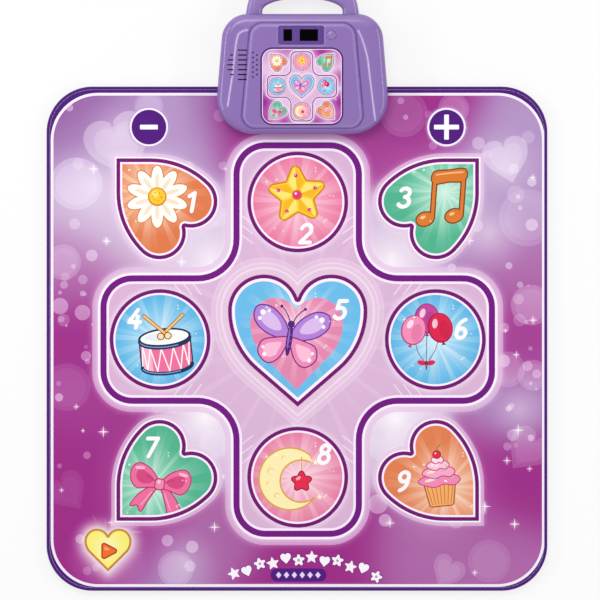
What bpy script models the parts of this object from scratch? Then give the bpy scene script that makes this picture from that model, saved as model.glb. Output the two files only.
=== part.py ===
# A battery-powered dance mat with a control box clamped to its far edge.
# Metres, +Z up. The floor is z = 0, the origin is under the centre pad, and +Y runs to the box.

import bpy
import bmesh
import math

for old in list(bpy.data.objects):
    bpy.data.objects.remove(old, do_unlink=True)

# Gap left between neighbours that touch
SEAT = 0.0003

# How far a cutter reaches past what it cuts
PAST = 0.010

# Mat edge, measured outward from the tips of the corner hearts
MAT_LEFT_MARGIN = 0.11785
MAT_RIGHT_MARGIN = 0.11525
MAT_FRONT_MARGIN = 0.1179
MAT_REAR_MARGIN = 0.1209
MAT_CORNER_RADIUS = 0.077
BINDING_WIDTH = 0.005

# Mat layers, from the floor up
BACKING_THICKNESS = 0.0020
FILM_THICKNESS = 0.0004
SPACER_THICKNESS = 0.0016
SQUASHED_FOAM_THICKNESS = 0.0009
PRINT_THICKNESS = 0.0002
TRACE_WIDTH = 0.004
COVER_THICKNESS = 0.0007

# Step pads: a plug that stands in the cover's cut-out, on a flange held below the cover
PAD_PITCH = 0.2312
PAD_RADIUS = 0.0843
PAD_PROUD = 0.0006
PAD_TRAVEL = 0.0015
PAD_FLANGE_WIDTH = 0.004
PAD_FLANGE_THICKNESS = 0.0018
PAD_SIDE_GAP = 0.0005
FOAM_SIDE_GAP = 0.0022

# Corner hearts: tip outward on the diagonal
HEART_TIP_REACH = 0.3041
HEART_TIP_ANGLE = math.radians(45)
HEART_LOBE_HEIGHT = 0.1392
HEART_LOBE_OFFSET = 0.0375
HEART_LOBE_RADIUS = 0.0439

# Centre heart: tip toward the player
CENTRE_TIP_REACH = 0.1121
CENTRE_TIP_ANGLE = math.radians(49)
CENTRE_LOBE_HEIGHT = 0.1610
CENTRE_LOBE_OFFSET = 0.0566
CENTRE_LOBE_RADIUS = 0.0600

# Small pads, placed from the tip of the nearest corner heart
VOLUME_PAD_RADIUS = 0.0324
VOLUME_PAD_INSET = 0.0541
VOLUME_PAD_BEYOND = 0.0529
START_TIP_OUTSET = 0.0146
START_TIP_BEYOND = 0.0847
START_TIP_ANGLE = math.radians(45)
START_LOBE_HEIGHT = 0.0501
START_LOBE_OFFSET = 0.0185
START_LOBE_RADIUS = 0.0205

# Membrane contacts under a large and under a small pad
LARGE_CONTACT_RADIUS = 0.030
SMALL_CONTACT_RADIUS = 0.010
CONTACT_SIDE_GAP = 0.004
CORNER_CONTACT_REACH = 0.080
START_CONTACT_REACH = 0.0441

# Box outline: a rounded trapezoid, narrower at its rear
BOX_CENTRE_X = 0.008
BOX_OVERLAP = 0.0796
BOX_LENGTH = 0.2016
BOX_FRONT_HALF = 0.1490
BOX_REAR_HALF = 0.1323
BOX_FRONT_RADIUS = 0.060
BOX_REAR_RADIUS = 0.044
BOX_BOTTOM_Z = 0.0030
BOX_PARTING_Z = 0.0240
BOX_TOP_Z = 0.0480
BOX_TOP_ROUND = 0.014
BOX_BOTTOM_ROUND = 0.003
WALL = 0.0024
STEP_GAP = 0.0015

# Raised face panel
PANEL_REAR_MARGIN = 0.016
PANEL_FRONT_MARGIN = 0.0098
PANEL_FRONT_HALF = 0.1026
PANEL_REAR_HALF = 0.0867
PANEL_RADIUS = 0.022
PANEL_RISE = 0.0035
PANEL_ROUND = 0.002

# Nine-zone light label and what lights it
LABEL_FRONT_MARGIN = 0.0048
LABEL_REAR_GAP = 0.0054
LABEL_WIDTH = 0.1386
LABEL_SHIFT_X = -0.001
LABEL_RADIUS = 0.020
LABEL_THICKNESS = 0.0008
LABEL_DEPTH = 0.0014
LABEL_LEDGE = 0.003
GRID_HEIGHT = 0.0116
GRID_WALL = 0.0022
LAMP_SIZE = 0.0036
LAMP_HEIGHT = 0.0016
LAMP_STRIP_WIDTH = 0.0060
LAMP_STRIP_THICKNESS = 0.0004
LAMP_CELL_RADIUS = 0.0020
BOARD_THICKNESS = 0.0016
BOARD_CORNER_RADIUS = 0.0030
PANEL_BOARD_FRONT_MARGIN = 0.0085
PANEL_BOARD_REAR_MARGIN = 0.0015

# Display: a plate with a one-digit and a two-digit window
BEZEL_REAR_MARGIN = 0.0043
BEZEL_SHIFT_X = -0.0024
BEZEL_WIDTH = 0.0761
BEZEL_LENGTH = 0.0311
BEZEL_RADIUS = 0.003
BEZEL_THICKNESS = 0.0009
BEZEL_DEPTH = 0.0016
WINDOW_LENGTH = 0.0198
LENS_THICKNESS = 0.0012
LENS_MARGIN = 0.0020
LEVEL_WINDOW_WIDTH = 0.0145
LEVEL_WINDOW_SHIFT = -0.0223
SCORE_WINDOW_WIDTH = 0.0307
SCORE_WINDOW_SHIFT = 0.0131

# Mode button and its switch
BUTTON_SHIFT_X = 0.0486
BUTTON_RADIUS = 0.0076
BUTTON_PROUD = 0.0025
BUTTON_CROWN = 0.0018
BUTTON_FLANGE = 0.0016
BUTTON_FLANGE_THICKNESS = 0.0015
BUTTON_STEM_RADIUS = 0.0016
BUTTON_TRAVEL = 0.0010
SWITCH_SIZE = 0.0090
SWITCH_HEIGHT = 0.0060

# Speaker and its grille
SPEAKER_SHIFT_X = -0.0999
SPEAKER_REAR_MARGIN = 0.0857
SPEAKER_RADIUS = 0.0250
SPEAKER_DEPTH = 0.0180
SPEAKER_FLANGE = 0.0022
SPEAKER_WALL = 0.0010
SPEAKER_BORE_RADIUS = 0.0040
CONE_WIDTH = 0.0220
CONE_DEPTH = 0.0060
CONE_THICKNESS = 0.0006
CONE_APEX_RADIUS = 0.0050
MAGNET_RADIUS = 0.0130
MAGNET_HEIGHT = 0.0080
GRILLE_RADIUS = 0.0270
GRILLE_PITCH = 0.0082
GRILLE_SLOT_WIDTH = 0.0017
GRILLE_SLOT_LEFT = -0.0084
GRILLE_SLOT_RIGHT = 0.0067
GRILLE_SHORT_RIGHT = -0.0160
GRILLE_HOLE_SIZE = 0.0019
GRILLE_COLUMN_A = 0.0168
GRILLE_COLUMN_B = 0.0235

# Carry handle
HANDLE_FOOT_HALF = 0.0966
HANDLE_CROWN_HALF = 0.0860
HANDLE_REACH = 0.0530
HANDLE_RADIUS = 0.030
HANDLE_THICKNESS = 0.0180
HANDLE_ROUND = 0.0050
GRIP_HALF = 0.0672
GRIP_STRAIGHT = 0.0050
GRIP_RISE = 0.0210
HANDLE_TOE = 0.0040
HANDLE_TOE_THICKNESS = 0.0030
HANDLE_TOE_STAND_OFF = 0.0024

# Battery bay, seen from below
CELL_RADIUS = 0.0071
CELL_LENGTH = 0.0482
CELL_NUB_RADIUS = 0.0027
CELL_NUB_LENGTH = 0.0020
CELL_GAP = 0.0010
CELL_CLEARANCE = 0.0006
CELL_COUNT = 3
BAY_REAR_MARGIN = 0.067
BAY_SPRING_ROOM = 0.0050
BAY_CONTACT_THICKNESS = 0.0010
BAY_END = 0.0130
BAY_SIDE = 0.0040
BAY_ROOF = 0.0020
DOOR_THICKNESS = 0.0020
DOOR_SIDE_GAP = 0.0004
DOOR_LIP = 0.0100
DOOR_END_LIP = 0.0005
BAY_CONTACT_HEIGHT = 0.0114
SPRING_BASE_RADIUS = 0.0040
SPRING_TIP_RADIUS = 0.0020

# Power switch in the rear wall
SLIDE_SHIFT_X = 0.0
SLIDE_HEIGHT_Z = 0.0135
SLIDE_KNOB_WIDTH = 0.0050
SLIDE_KNOB_HEIGHT = 0.0036
SLIDE_TRAVEL = 0.0040
SLIDE_KNOB_DEPTH = 0.0030
SLIDE_KNOB_SETBACK = 0.0006
SLIDE_BODY_WIDTH = 0.0200
SLIDE_BODY_HEIGHT = 0.0090
SLIDE_BODY_DEPTH = 0.0070
SLIDE_SIDE_GAP = 0.0005

# Main board, its chip and the mat's ribbon
MAIN_BOARD_WIDTH = 0.090
MAIN_BOARD_LENGTH = 0.034
MAIN_BOARD_FRONT = 0.0200
MAIN_BOARD_LIFT = 0.0090
CHIP_RADIUS = 0.0070
CHIP_HEIGHT = 0.0018
RIBBON_WIDTH = 0.0240
RIBBON_THICKNESS = 0.0005
RIBBON_REACH = 0.0125
RIBBON_RISE = 0.0040
RIBBON_BEHIND_BOARD = 0.0050
CONNECTOR_HEIGHT = 0.0045
CONNECTOR_DEPTH = 0.0060
CONNECTOR_SIDE = 0.0015

# Screws, bosses, posts and feet
SCREW_RADIUS = 0.0015
SCREW_HEAD_RADIUS = 0.0030
SCREW_HEAD_THICKNESS = 0.0010
SCREW_GAP = 0.0004
BOSS_RADIUS = 0.0042
BOSS_DEPTH = 0.0110
POST_RADIUS = 0.0035
PEG_RADIUS = 0.0011
PEG_GAP = 0.0004
PEG_PROUD = 0.0010
POST_INSET = 0.0050
CLAMP_SCREW_SHIFT_X = 0.1000
CLAMP_SCREW_REACH = 0.0440
CLAMP_LENGTH = 0.0540
CASE_SCREW_SHIFT_X = 0.1080
CASE_SCREW_REAR_MARGIN = 0.0300
CLAMP_MARGIN = 0.0090
FOOT_WIDTH = 0.0140
FOOT_LENGTH = 0.0640
FOOT_SHIFT_X = 0.1140
FOOT_STEP_MARGIN = 0.0120
FOOT_RADIUS = 0.0046

# Steps in a quarter turn of an outline
FINE = 6
COARSE = 3

# Heights that follow from the layers
film_z = BACKING_THICKNESS + SEAT
print_z = film_z + FILM_THICKNESS + SEAT
spacer_z = print_z + PRINT_THICKNESS + SEAT
upper_film_z = spacer_z + SPACER_THICKNESS + SEAT
foam_z = upper_film_z + FILM_THICKNESS + SEAT
pad_z = foam_z + PAD_TRAVEL + SQUASHED_FOAM_THICKNESS + SEAT
foam_top = pad_z + PAD_FLANGE_THICKNESS
cover_z = foam_top + SEAT
cover_top = cover_z + COVER_THICKNESS
pad_top = cover_top + PAD_PROUD

# Places on the mat that follow from the corner hearts
mat_left_x = -HEART_TIP_REACH - MAT_LEFT_MARGIN
mat_right_x = HEART_TIP_REACH + MAT_RIGHT_MARGIN
mat_front_y = -HEART_TIP_REACH - MAT_FRONT_MARGIN
mat_rear_y = HEART_TIP_REACH + MAT_REAR_MARGIN
volume_pad_x = HEART_TIP_REACH - VOLUME_PAD_INSET
volume_pad_y = HEART_TIP_REACH + VOLUME_PAD_BEYOND
start_tip_x = -HEART_TIP_REACH - START_TIP_OUTSET
start_tip_y = -HEART_TIP_REACH - START_TIP_BEYOND

# Places along the box that follow from its length
box_front_y = mat_rear_y - BOX_OVERLAP
box_rear_y = box_front_y + BOX_LENGTH
step_y = mat_rear_y + STEP_GAP
front_floor_z = cover_top + SEAT
panel_rear_y = box_rear_y - PANEL_REAR_MARGIN
panel_front_y = box_front_y + PANEL_FRONT_MARGIN
panel_top = BOX_TOP_Z + PANEL_RISE
panel_under = panel_top - WALL
label_x = BOX_CENTRE_X + LABEL_SHIFT_X
bezel_y = panel_rear_y - BEZEL_REAR_MARGIN - BEZEL_LENGTH / 2
label_front_y = panel_front_y + LABEL_FRONT_MARGIN
label_rear_y = bezel_y - BEZEL_LENGTH / 2 - LABEL_REAR_GAP
label_length = label_rear_y - label_front_y
label_y = (label_front_y + label_rear_y) / 2
label_floor = panel_top - LABEL_DEPTH
bezel_x = BOX_CENTRE_X + BEZEL_SHIFT_X
bezel_floor = panel_top - BEZEL_DEPTH
button_x = BOX_CENTRE_X + BUTTON_SHIFT_X
speaker_x = BOX_CENTRE_X + SPEAKER_SHIFT_X
speaker_y = box_rear_y - SPEAKER_REAR_MARGIN
grid_z = panel_under - SEAT - GRID_HEIGHT
lamp_z = grid_z - SEAT - LAMP_STRIP_THICKNESS
panel_board_z = lamp_z - SEAT - BOARD_THICKNESS
panel_board_front = label_front_y - PANEL_BOARD_FRONT_MARGIN
panel_board_rear = bezel_y + BEZEL_LENGTH / 2 + PANEL_BOARD_REAR_MARGIN
front_inner_z = front_floor_z + WALL
rear_inner_z = BOX_BOTTOM_Z + WALL
main_board_z = front_inner_z + MAIN_BOARD_LIFT
main_board_front = box_front_y + MAIN_BOARD_FRONT
main_board_rear = main_board_front + MAIN_BOARD_LENGTH
ribbon_y = main_board_rear + RIBBON_BEHIND_BOARD
bay_y = box_rear_y - BAY_REAR_MARGIN
handle_toe_y = box_rear_y - WALL - HANDLE_TOE_STAND_OFF - HANDLE_TOE_THICKNESS
cell_pitch = 2 * CELL_RADIUS + CELL_GAP
bay_width = CELL_LENGTH + CELL_NUB_LENGTH + BAY_SPRING_ROOM + 2 * BAY_CONTACT_THICKNESS + 4 * SEAT
bay_length = CELL_COUNT * cell_pitch
door_top_z = BOX_BOTTOM_Z + DOOR_THICKNESS
cell_z = door_top_z + CELL_CLEARANCE + CELL_RADIUS
bay_roof_z = cell_z + CELL_RADIUS + CELL_CLEARANCE
door_width = bay_width + 2 * DOOR_LIP
door_length = bay_length + 2 * DOOR_END_LIP
head_pocket_z = BOX_BOTTOM_Z + SCREW_HEAD_THICKNESS + SEAT
slide_x = BOX_CENTRE_X + SLIDE_SHIFT_X
slide_slot_width = SLIDE_KNOB_WIDTH + SLIDE_TRAVEL + 2 * SLIDE_SIDE_GAP
slide_slot_height = SLIDE_KNOB_HEIGHT + 2 * SLIDE_SIDE_GAP

parts = bpy.data.collections.new("electronic_dance_mat")
tools = bpy.data.collections.new("cutters")
bpy.context.scene.collection.children.link(parts)
bpy.context.scene.collection.children.link(tools)


def finish(name, colour, roughness, metallic=0.0):
    """A Principled material; one of the same name is used again."""
    found = bpy.data.materials.get(name)
    if found:
        return found
    made = bpy.data.materials.new(name)
    made.use_nodes = True
    shader = made.node_tree.nodes["Principled BSDF"]
    shader.inputs["Base Color"].default_value = (*colour, 1.0)
    shader.inputs["Roughness"].default_value = roughness
    shader.inputs["Metallic"].default_value = metallic
    return made


def purple_plastic():
    return finish("purple_plastic", (0.26, 0.16, 0.44), 0.3)


def deep_purple_plastic():
    return finish("deep_purple_plastic", (0.14, 0.07, 0.31), 0.35)


def dark_binding():
    return finish("dark_binding", (0.08, 0.01, 0.15), 0.5)


def printed_cover():
    return finish("printed_cover", (0.36, 0.11, 0.36), 0.45)


def black_rubber():
    return finish("black_rubber", (0.03, 0.03, 0.03), 0.8)


def clear_film():
    return finish("clear_film", (0.8, 0.8, 0.78), 0.3)


def white_foam():
    return finish("white_foam", (0.85, 0.85, 0.82), 0.9)


def carbon_print():
    return finish("carbon_print", (0.04, 0.04, 0.04), 0.7)


def steel():
    return finish("steel", (0.6, 0.6, 0.6), 0.3, 1.0)


def circuit_board():
    return finish("circuit_board", (0.05, 0.25, 0.08), 0.5)


def black_plastic():
    return finish("black_plastic", (0.02, 0.02, 0.02), 0.3)


def white_plastic():
    return finish("white_plastic", (0.8, 0.8, 0.8), 0.4)


def arc(centre, radius, start, end, steps):
    """Points on an arc from one angle to another, both ends included."""
    points = []
    for index in range(steps + 1):
        angle = start + (end - start) * index / steps
        points.append((centre[0] + radius * math.cos(angle), centre[1] + radius * math.sin(angle)))
    return points


def circle(radius, steps, centre=(0.0, 0.0)):
    """A round outline."""
    return arc(centre, radius, 0.0, 2 * math.pi, steps)[:-1]


def rounded(corners, radii, grow=0.0, steps=FINE):
    """Anticlockwise corners joined by arcs; grow moves the whole outline outward."""
    points = []
    count = len(corners)
    for index, corner in enumerate(corners):
        if radii[index] == 0.0:
            points.append(corner)
            continue
        before = corners[index - 1]
        after = corners[(index + 1) % count]
        heading_in = math.atan2(corner[1] - before[1], corner[0] - before[0])
        heading_out = math.atan2(after[1] - corner[1], after[0] - corner[0])
        turn = (heading_out - heading_in) % (2 * math.pi)
        reach = radii[index] / math.cos(turn / 2)
        inward = heading_in + turn / 2 + math.pi / 2
        centre = (corner[0] + reach * math.cos(inward), corner[1] + reach * math.sin(inward))
        start = heading_in - math.pi / 2
        points += arc(centre, radii[index] + grow, start, start + turn, steps)
    return points


def box_corners(width, length, centre=(0.0, 0.0)):
    """The four corners of a rectangle, anticlockwise."""
    x = width / 2
    y = length / 2
    return [(centre[0] + sx * x, centre[1] + sy * y) for sx, sy in ((-1, -1), (1, -1), (1, 1), (-1, 1))]


def rectangle(width, length, centre=(0.0, 0.0), radius=0.0, grow=0.0, steps=COARSE):
    """A rectangular outline, its corners rounded where a radius is given."""
    if radius == 0.0:
        return box_corners(width + 2 * grow, length + 2 * grow, centre)
    return rounded(box_corners(width, length, centre), [radius] * 4, grow, steps)


def heart(tip_angle, lobe_height, lobe_offset, lobe_radius, heading, grow=0.0, steps=4):
    """A heart with its tip at (0, 0), pointing away from heading.

    Each side is a straight run from the tip, a wide arc and a round lobe, all tangent.
    """
    widest = lobe_offset + lobe_radius
    sweep = (lobe_height * math.sin(tip_angle) - widest * math.cos(tip_angle)) / (1 - math.cos(tip_angle))
    half = []
    for index in range(steps + 1):
        angle = tip_angle * (1 - index / steps)
        along = lobe_height - (sweep + grow) * math.sin(angle)
        half.append((along, widest - sweep + (sweep + grow) * math.cos(angle)))
    lobe = lobe_radius + grow
    last = math.acos(-lobe_offset / lobe)
    for index in range(1, 2 * steps + 1):
        angle = last * index / (2 * steps)
        half.append((lobe_height + lobe * math.sin(angle), lobe_offset + lobe * math.cos(angle)))
    tip = (-grow / math.sin(tip_angle), 0.0)
    around = [tip] + half + [(along, -across) for along, across in reversed(half[:-1])]
    cosine = math.cos(heading)
    sine = math.sin(heading)
    return [(cosine * a - sine * b, sine * a + cosine * b) for a, b in around]


def keep(mesh, name, material, place=(0.0, 0.0, 0.0), cutter=False):
    """Put a mesh in the scene as a part, or as a cutter that stays hidden."""
    made = bpy.data.objects.new(name, mesh)
    made.location = place
    if cutter:
        made.hide_render = True
        made.display_type = "WIRE"
        tools.objects.link(made)
    else:
        mesh.materials.clear()
        mesh.materials.append(material)
        parts.objects.link(made)
    bpy.context.view_layer.update()
    return made


def weld(mesh):
    """Join a mesh's doubled points."""
    shape = bmesh.new()
    shape.from_mesh(mesh)
    bmesh.ops.remove_doubles(shape, verts=shape.verts, dist=0.00001)
    shape.to_mesh(mesh)
    shape.free()


def curve_mesh(curve, name):
    """The welded mesh of a curve."""
    holder = bpy.data.objects.new(name + "_curve", curve)
    parts.objects.link(holder)
    bpy.context.view_layer.update()
    graph = bpy.context.evaluated_depsgraph_get()
    mesh = bpy.data.meshes.new_from_object(holder.evaluated_get(graph))
    mesh.name = name
    bpy.data.objects.remove(holder, do_unlink=True)
    weld(mesh)
    return mesh


def plate(name, loops, bottom, top, material=None, place=(0.0, 0.0), cutter=False):
    """A flat outline, with the loops inside it as holes, from one height to another."""
    curve = bpy.data.curves.new(name, "CURVE")
    curve.dimensions = "2D"
    curve.fill_mode = "BOTH"
    curve.extrude = (top - bottom) / 2
    for loop in loops:
        spline = curve.splines.new("POLY")
        spline.points.add(len(loop) - 1)
        for point, (x, y) in zip(spline.points, loop):
            point.co = (x, y, 0.0, 1.0)
        spline.use_cyclic_u = True
    mesh = curve_mesh(curve, name)
    return keep(mesh, name, material, (place[0], place[1], (top + bottom) / 2), cutter)


def disc(name, radius, bottom, top, place, material=None, steps=16, cutter=False):
    """An upright cylinder."""
    mesh = bpy.data.meshes.new(name)
    shape = bmesh.new()
    bmesh.ops.create_cone(
        shape, cap_ends=True, segments=steps, radius1=radius, radius2=radius, depth=top - bottom)
    shape.to_mesh(mesh)
    shape.free()
    return keep(mesh, name, material, (place[0], place[1], (top + bottom) / 2), cutter)


def block(name, size, centre, material=None, cutter=False):
    """A rectangular block."""
    mesh = bpy.data.meshes.new(name)
    shape = bmesh.new()
    bmesh.ops.create_cube(shape, size=1.0)
    bmesh.ops.scale(shape, verts=shape.verts, vec=size)
    shape.to_mesh(mesh)
    shape.free()
    return keep(mesh, name, material, centre, cutter)


def turned(name, profile, place, material=None, steps=24, closed=False, cutter=False):
    """A turned piece: a profile of (radius, height), top to bottom down its outer side."""
    mesh = bpy.data.meshes.new(name)
    shape = bmesh.new()
    points = [shape.verts.new((radius, 0.0, height)) for radius, height in profile]
    for first, second in zip(points, points[1:]):
        shape.edges.new((first, second))
    if closed:
        shape.edges.new((points[-1], points[0]))
    shape.to_mesh(mesh)
    shape.free()
    made = keep(mesh, name, material, place, cutter)
    screw = made.modifiers.new("turn", "SCREW")
    screw.steps = steps
    screw.render_steps = steps
    screw.use_merge_vertices = True
    screw.merge_threshold = 0.00001
    screw.use_smooth_shade = False
    return made


def bevel(piece, width, segments=3):
    """Round the edges between the flat faces and the sides."""
    made = piece.modifiers.new("round", "BEVEL")
    made.width = width
    made.segments = segments
    made.limit_method = "ANGLE"
    made.angle_limit = math.radians(50)
    made.use_clamp_overlap = False
    return piece


def carve(piece, cutter, operation="DIFFERENCE"):
    """Cut a cutter out of a piece, or join or intersect the two."""
    made = piece.modifiers.new(operation.lower(), "BOOLEAN")
    made.object = cutter
    made.operation = operation
    made.solver = "EXACT"
    return piece


def tidy_cuts(piece):
    """Join the slivers that several cuts leave at one place."""
    made = piece.modifiers.new("weld", "WELD")
    made.merge_threshold = 0.00002
    return piece


def gather(name, pieces, material, place=(0.0, 0.0, 0.0)):
    """Several like solids as one part with its origin at place."""
    graph = bpy.context.evaluated_depsgraph_get()
    shape = bmesh.new()
    for piece in pieces:
        mesh = bpy.data.meshes.new_from_object(piece.evaluated_get(graph))
        mesh.transform(piece.matrix_world)
        shape.from_mesh(mesh)
        bpy.data.meshes.remove(mesh)
        bpy.data.objects.remove(piece, do_unlink=True)
    bmesh.ops.translate(shape, verts=shape.verts, vec=[-value for value in place])
    mesh = bpy.data.meshes.new(name)
    shape.to_mesh(mesh)
    shape.free()
    return keep(mesh, name, material, place)


def mat_outline(inset):
    """The mat's cut edge, moved inward."""
    width = mat_right_x - mat_left_x
    length = mat_rear_y - mat_front_y
    centre = ((mat_left_x + mat_right_x) / 2, (mat_front_y + mat_rear_y) / 2)
    return rectangle(width, length, centre, MAT_CORNER_RADIUS, -inset, 7)


def trapezoid(front_half, rear_half, front, rear, front_radius, rear_radius, grow=0.0, steps=FINE):
    """A rounded trapezoid about the box's centre line."""
    corners = [(BOX_CENTRE_X - front_half, front), (BOX_CENTRE_X + front_half, front)]
    corners += [(BOX_CENTRE_X + rear_half, rear), (BOX_CENTRE_X - rear_half, rear)]
    return rounded(corners, [front_radius, front_radius, rear_radius, rear_radius], grow, steps)


def box_outline(grow=0.0):
    return trapezoid(
        BOX_FRONT_HALF, BOX_REAR_HALF, box_front_y, box_rear_y, BOX_FRONT_RADIUS, BOX_REAR_RADIUS, grow)


def panel_outline(grow=0.0):
    return trapezoid(
        PANEL_FRONT_HALF, PANEL_REAR_HALF, panel_front_y, panel_rear_y,
        PANEL_RADIUS, PANEL_RADIUS, grow, 5)


def label_outline(grow=0.0):
    return rectangle(LABEL_WIDTH, label_length, (label_x, label_y), LABEL_RADIUS, grow)


def bezel_outline(grow=0.0):
    return rectangle(BEZEL_WIDTH, BEZEL_LENGTH, (bezel_x, bezel_y), BEZEL_RADIUS, grow, 2)


def window_outline(width, shift, grow=0.0):
    return rectangle(width, WINDOW_LENGTH, (bezel_x + shift, bezel_y), 0.0, grow)


def corner_heart(side_x, side_y):
    """A corner pad's place and outline."""
    heading = math.atan2(-side_y, -side_x)
    tip = (side_x * HEART_TIP_REACH, side_y * HEART_TIP_REACH)
    return tip, lambda grow: heart(
        HEART_TIP_ANGLE, HEART_LOBE_HEIGHT, HEART_LOBE_OFFSET, HEART_LOBE_RADIUS, heading, grow)


def centre_heart():
    return (0.0, -CENTRE_TIP_REACH), lambda grow: heart(
        CENTRE_TIP_ANGLE, CENTRE_LOBE_HEIGHT, CENTRE_LOBE_OFFSET, CENTRE_LOBE_RADIUS, math.pi / 2, grow)


def start_heart():
    return (start_tip_x, start_tip_y), lambda grow: heart(
        START_TIP_ANGLE, START_LOBE_HEIGHT, START_LOBE_OFFSET, START_LOBE_RADIUS, math.pi / 2, grow, 4)


def round_pad(x, y, radius=PAD_RADIUS, steps=28):
    return (x, y), lambda grow: circle(radius + grow, steps)


# Pads by name: the origin of each, its outline, and where its contact is
pad_layout = {
    "pad_1": (*corner_heart(-1, 1), CORNER_CONTACT_REACH),
    "pad_2": (*round_pad(0.0, PAD_PITCH), 0.0),
    "pad_3": (*corner_heart(1, 1), CORNER_CONTACT_REACH),
    "pad_4": (*round_pad(-PAD_PITCH, 0.0), 0.0),
    "pad_5": (*centre_heart(), CENTRE_TIP_REACH),
    "pad_6": (*round_pad(PAD_PITCH, 0.0), 0.0),
    "pad_7": (*corner_heart(-1, -1), CORNER_CONTACT_REACH),
    "pad_8": (*round_pad(0.0, -PAD_PITCH), 0.0),
    "pad_9": (*corner_heart(1, -1), CORNER_CONTACT_REACH),
    "minus_pad": (*round_pad(-volume_pad_x, volume_pad_y, VOLUME_PAD_RADIUS, 18), 0.0),
    "plus_pad": (*round_pad(volume_pad_x, volume_pad_y, VOLUME_PAD_RADIUS, 18), 0.0),
    "start_pad": (*start_heart(), START_CONTACT_REACH),
}


def contact_place(name):
    """A contact lies under the middle of its pad, reached from the pad's origin."""
    (x, y), outline, reach = pad_layout[name]
    if name == "pad_5" or name == "start_pad":
        return x, y + reach
    return x - math.copysign(reach, x) * bool(x), y - math.copysign(reach, y) * bool(y)


def contact_radius(name):
    return LARGE_CONTACT_RADIUS if name[-1].isdigit() else SMALL_CONTACT_RADIUS


def clamp_screw_places():
    y = box_front_y + CLAMP_SCREW_REACH
    return [(BOX_CENTRE_X + side * CLAMP_SCREW_SHIFT_X, y) for side in (-1, 1)]


def case_screw_places():
    y = box_rear_y - CASE_SCREW_REAR_MARGIN
    return [(BOX_CENTRE_X + side * CASE_SCREW_SHIFT_X, y) for side in (-1, 1)]


def placed(loop, place):
    return [(x + place[0], y + place[1]) for x, y in loop]


def screw_holes(radius, places):
    return [circle(radius, 6, place) for place in places]


def ribbon_slot(grow):
    return rectangle(RIBBON_WIDTH, RIBBON_THICKNESS, (BOX_CENTRE_X, ribbon_y), 0.0, grow)


def clamp_outline(grow=0.0):
    width = 2 * (CLAMP_SCREW_SHIFT_X + CLAMP_MARGIN)
    centre = (BOX_CENTRE_X, box_front_y + CLAMP_SCREW_REACH)
    return rectangle(width, CLAMP_LENGTH, centre, CLAMP_MARGIN / 2, grow, 3)


def trace(width, place, heading=0.0):
    """One printed run of the circuit, a little thinner than the print that it joins."""
    margin = PRINT_THICKNESS / 10
    strip = rectangle(width, TRACE_WIDTH)
    made = plate("trace", [strip], print_z + margin, print_z + PRINT_THICKNESS - margin, cutter=True)
    made.location = (*place, print_z + PRINT_THICKNESS / 2)
    made.rotation_euler = (0.0, 0.0, heading)
    return made


def make_contact_print():
    """One carbon print: a contact under each pad, joined by traces that run to the ribbon."""
    top = print_z + PRINT_THICKNESS
    spine = rectangle(TRACE_WIDTH, ribbon_y + PAD_PITCH, (0.0, (ribbon_y - PAD_PITCH) / 2))
    made = plate("contact_print", [spine], print_z, top, carbon_print())
    margin = PRINT_THICKNESS / 20
    row = HEART_TIP_REACH - CORNER_CONTACT_REACH
    rows = ((volume_pad_y, volume_pad_x), (row, row), (0.0, PAD_PITCH), (-row, row))
    pieces = [trace(2 * reach, (0.0, y)) for y, reach in rows]
    start = contact_place("start_pad")
    run = (start[0] + row, start[1] + row)
    middle = ((start[0] - row) / 2, (start[1] - row) / 2)
    pieces.append(trace(math.hypot(*run), middle, math.atan2(run[1], run[0])))
    for name in pad_layout:
        pieces.append(disc(
            name + "_contact", contact_radius(name), print_z - margin, top + margin,
            contact_place(name), steps=8, cutter=True))
    for piece in pieces:
        carve(made, piece, "UNION")


def make_mat():
    """The mat's layers, each with the holes that its neighbours need."""
    inner = mat_outline(BINDING_WIDTH + SEAT)
    film_screws = screw_holes(SCREW_RADIUS + 2 * SCREW_GAP, clamp_screw_places())
    plate("backing_sheet", [inner, clamp_outline(SEAT)], 0.0, BACKING_THICKNESS, black_rubber())
    plate("lower_film", [inner] + film_screws, film_z, film_z + FILM_THICKNESS, clear_film())
    make_contact_print()
    wells = [circle(contact_radius(name) + CONTACT_SIDE_GAP, 8, contact_place(name)) for name in pad_layout]
    spacer_loops = [inner] + film_screws + wells
    plate("spacer_film", spacer_loops, spacer_z, spacer_z + SPACER_THICKNESS, clear_film())
    plate("upper_film", [inner] + film_screws, upper_film_z, upper_film_z + FILM_THICKNESS, clear_film())
    pockets = []
    cuts = []
    for place, outline, reach in pad_layout.values():
        pockets.append(placed(outline(PAD_FLANGE_WIDTH + FOAM_SIDE_GAP), place))
        cuts.append(placed(outline(PAD_SIDE_GAP), place))
    slot = ribbon_slot(2 * SEAT)
    plate("return_foam", [inner, slot] + film_screws, foam_z, pad_z - SEAT, white_foam())
    plate("pocket_foam", [inner, slot] + film_screws + pockets, pad_z, foam_top, white_foam())
    plate("cover_sheet", [inner, slot] + film_screws + cuts, cover_z, cover_top, printed_cover())
    plate("edge_binding", [mat_outline(0.0), mat_outline(BINDING_WIDTH)], 0.0, cover_top, dark_binding())


def make_pad(name):
    """A plug joined to a wider flange; its origin is the pad's own, on the joint's axis."""
    place, outline, reach = pad_layout[name]
    flange = plate(name, [outline(PAD_FLANGE_WIDTH)], pad_z, foam_top, printed_cover(), place)
    plug = plate(name + "_plug", [outline(0.0)], (pad_z + foam_top) / 2, pad_top, None, place, cutter=True)
    carve(flange, plug, "UNION")


def shell_blank(name, outline, bottom, top, width, material=None, cutter=False):
    return bevel(plate(name, [outline], bottom, top, material, cutter=cutter), width)


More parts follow.
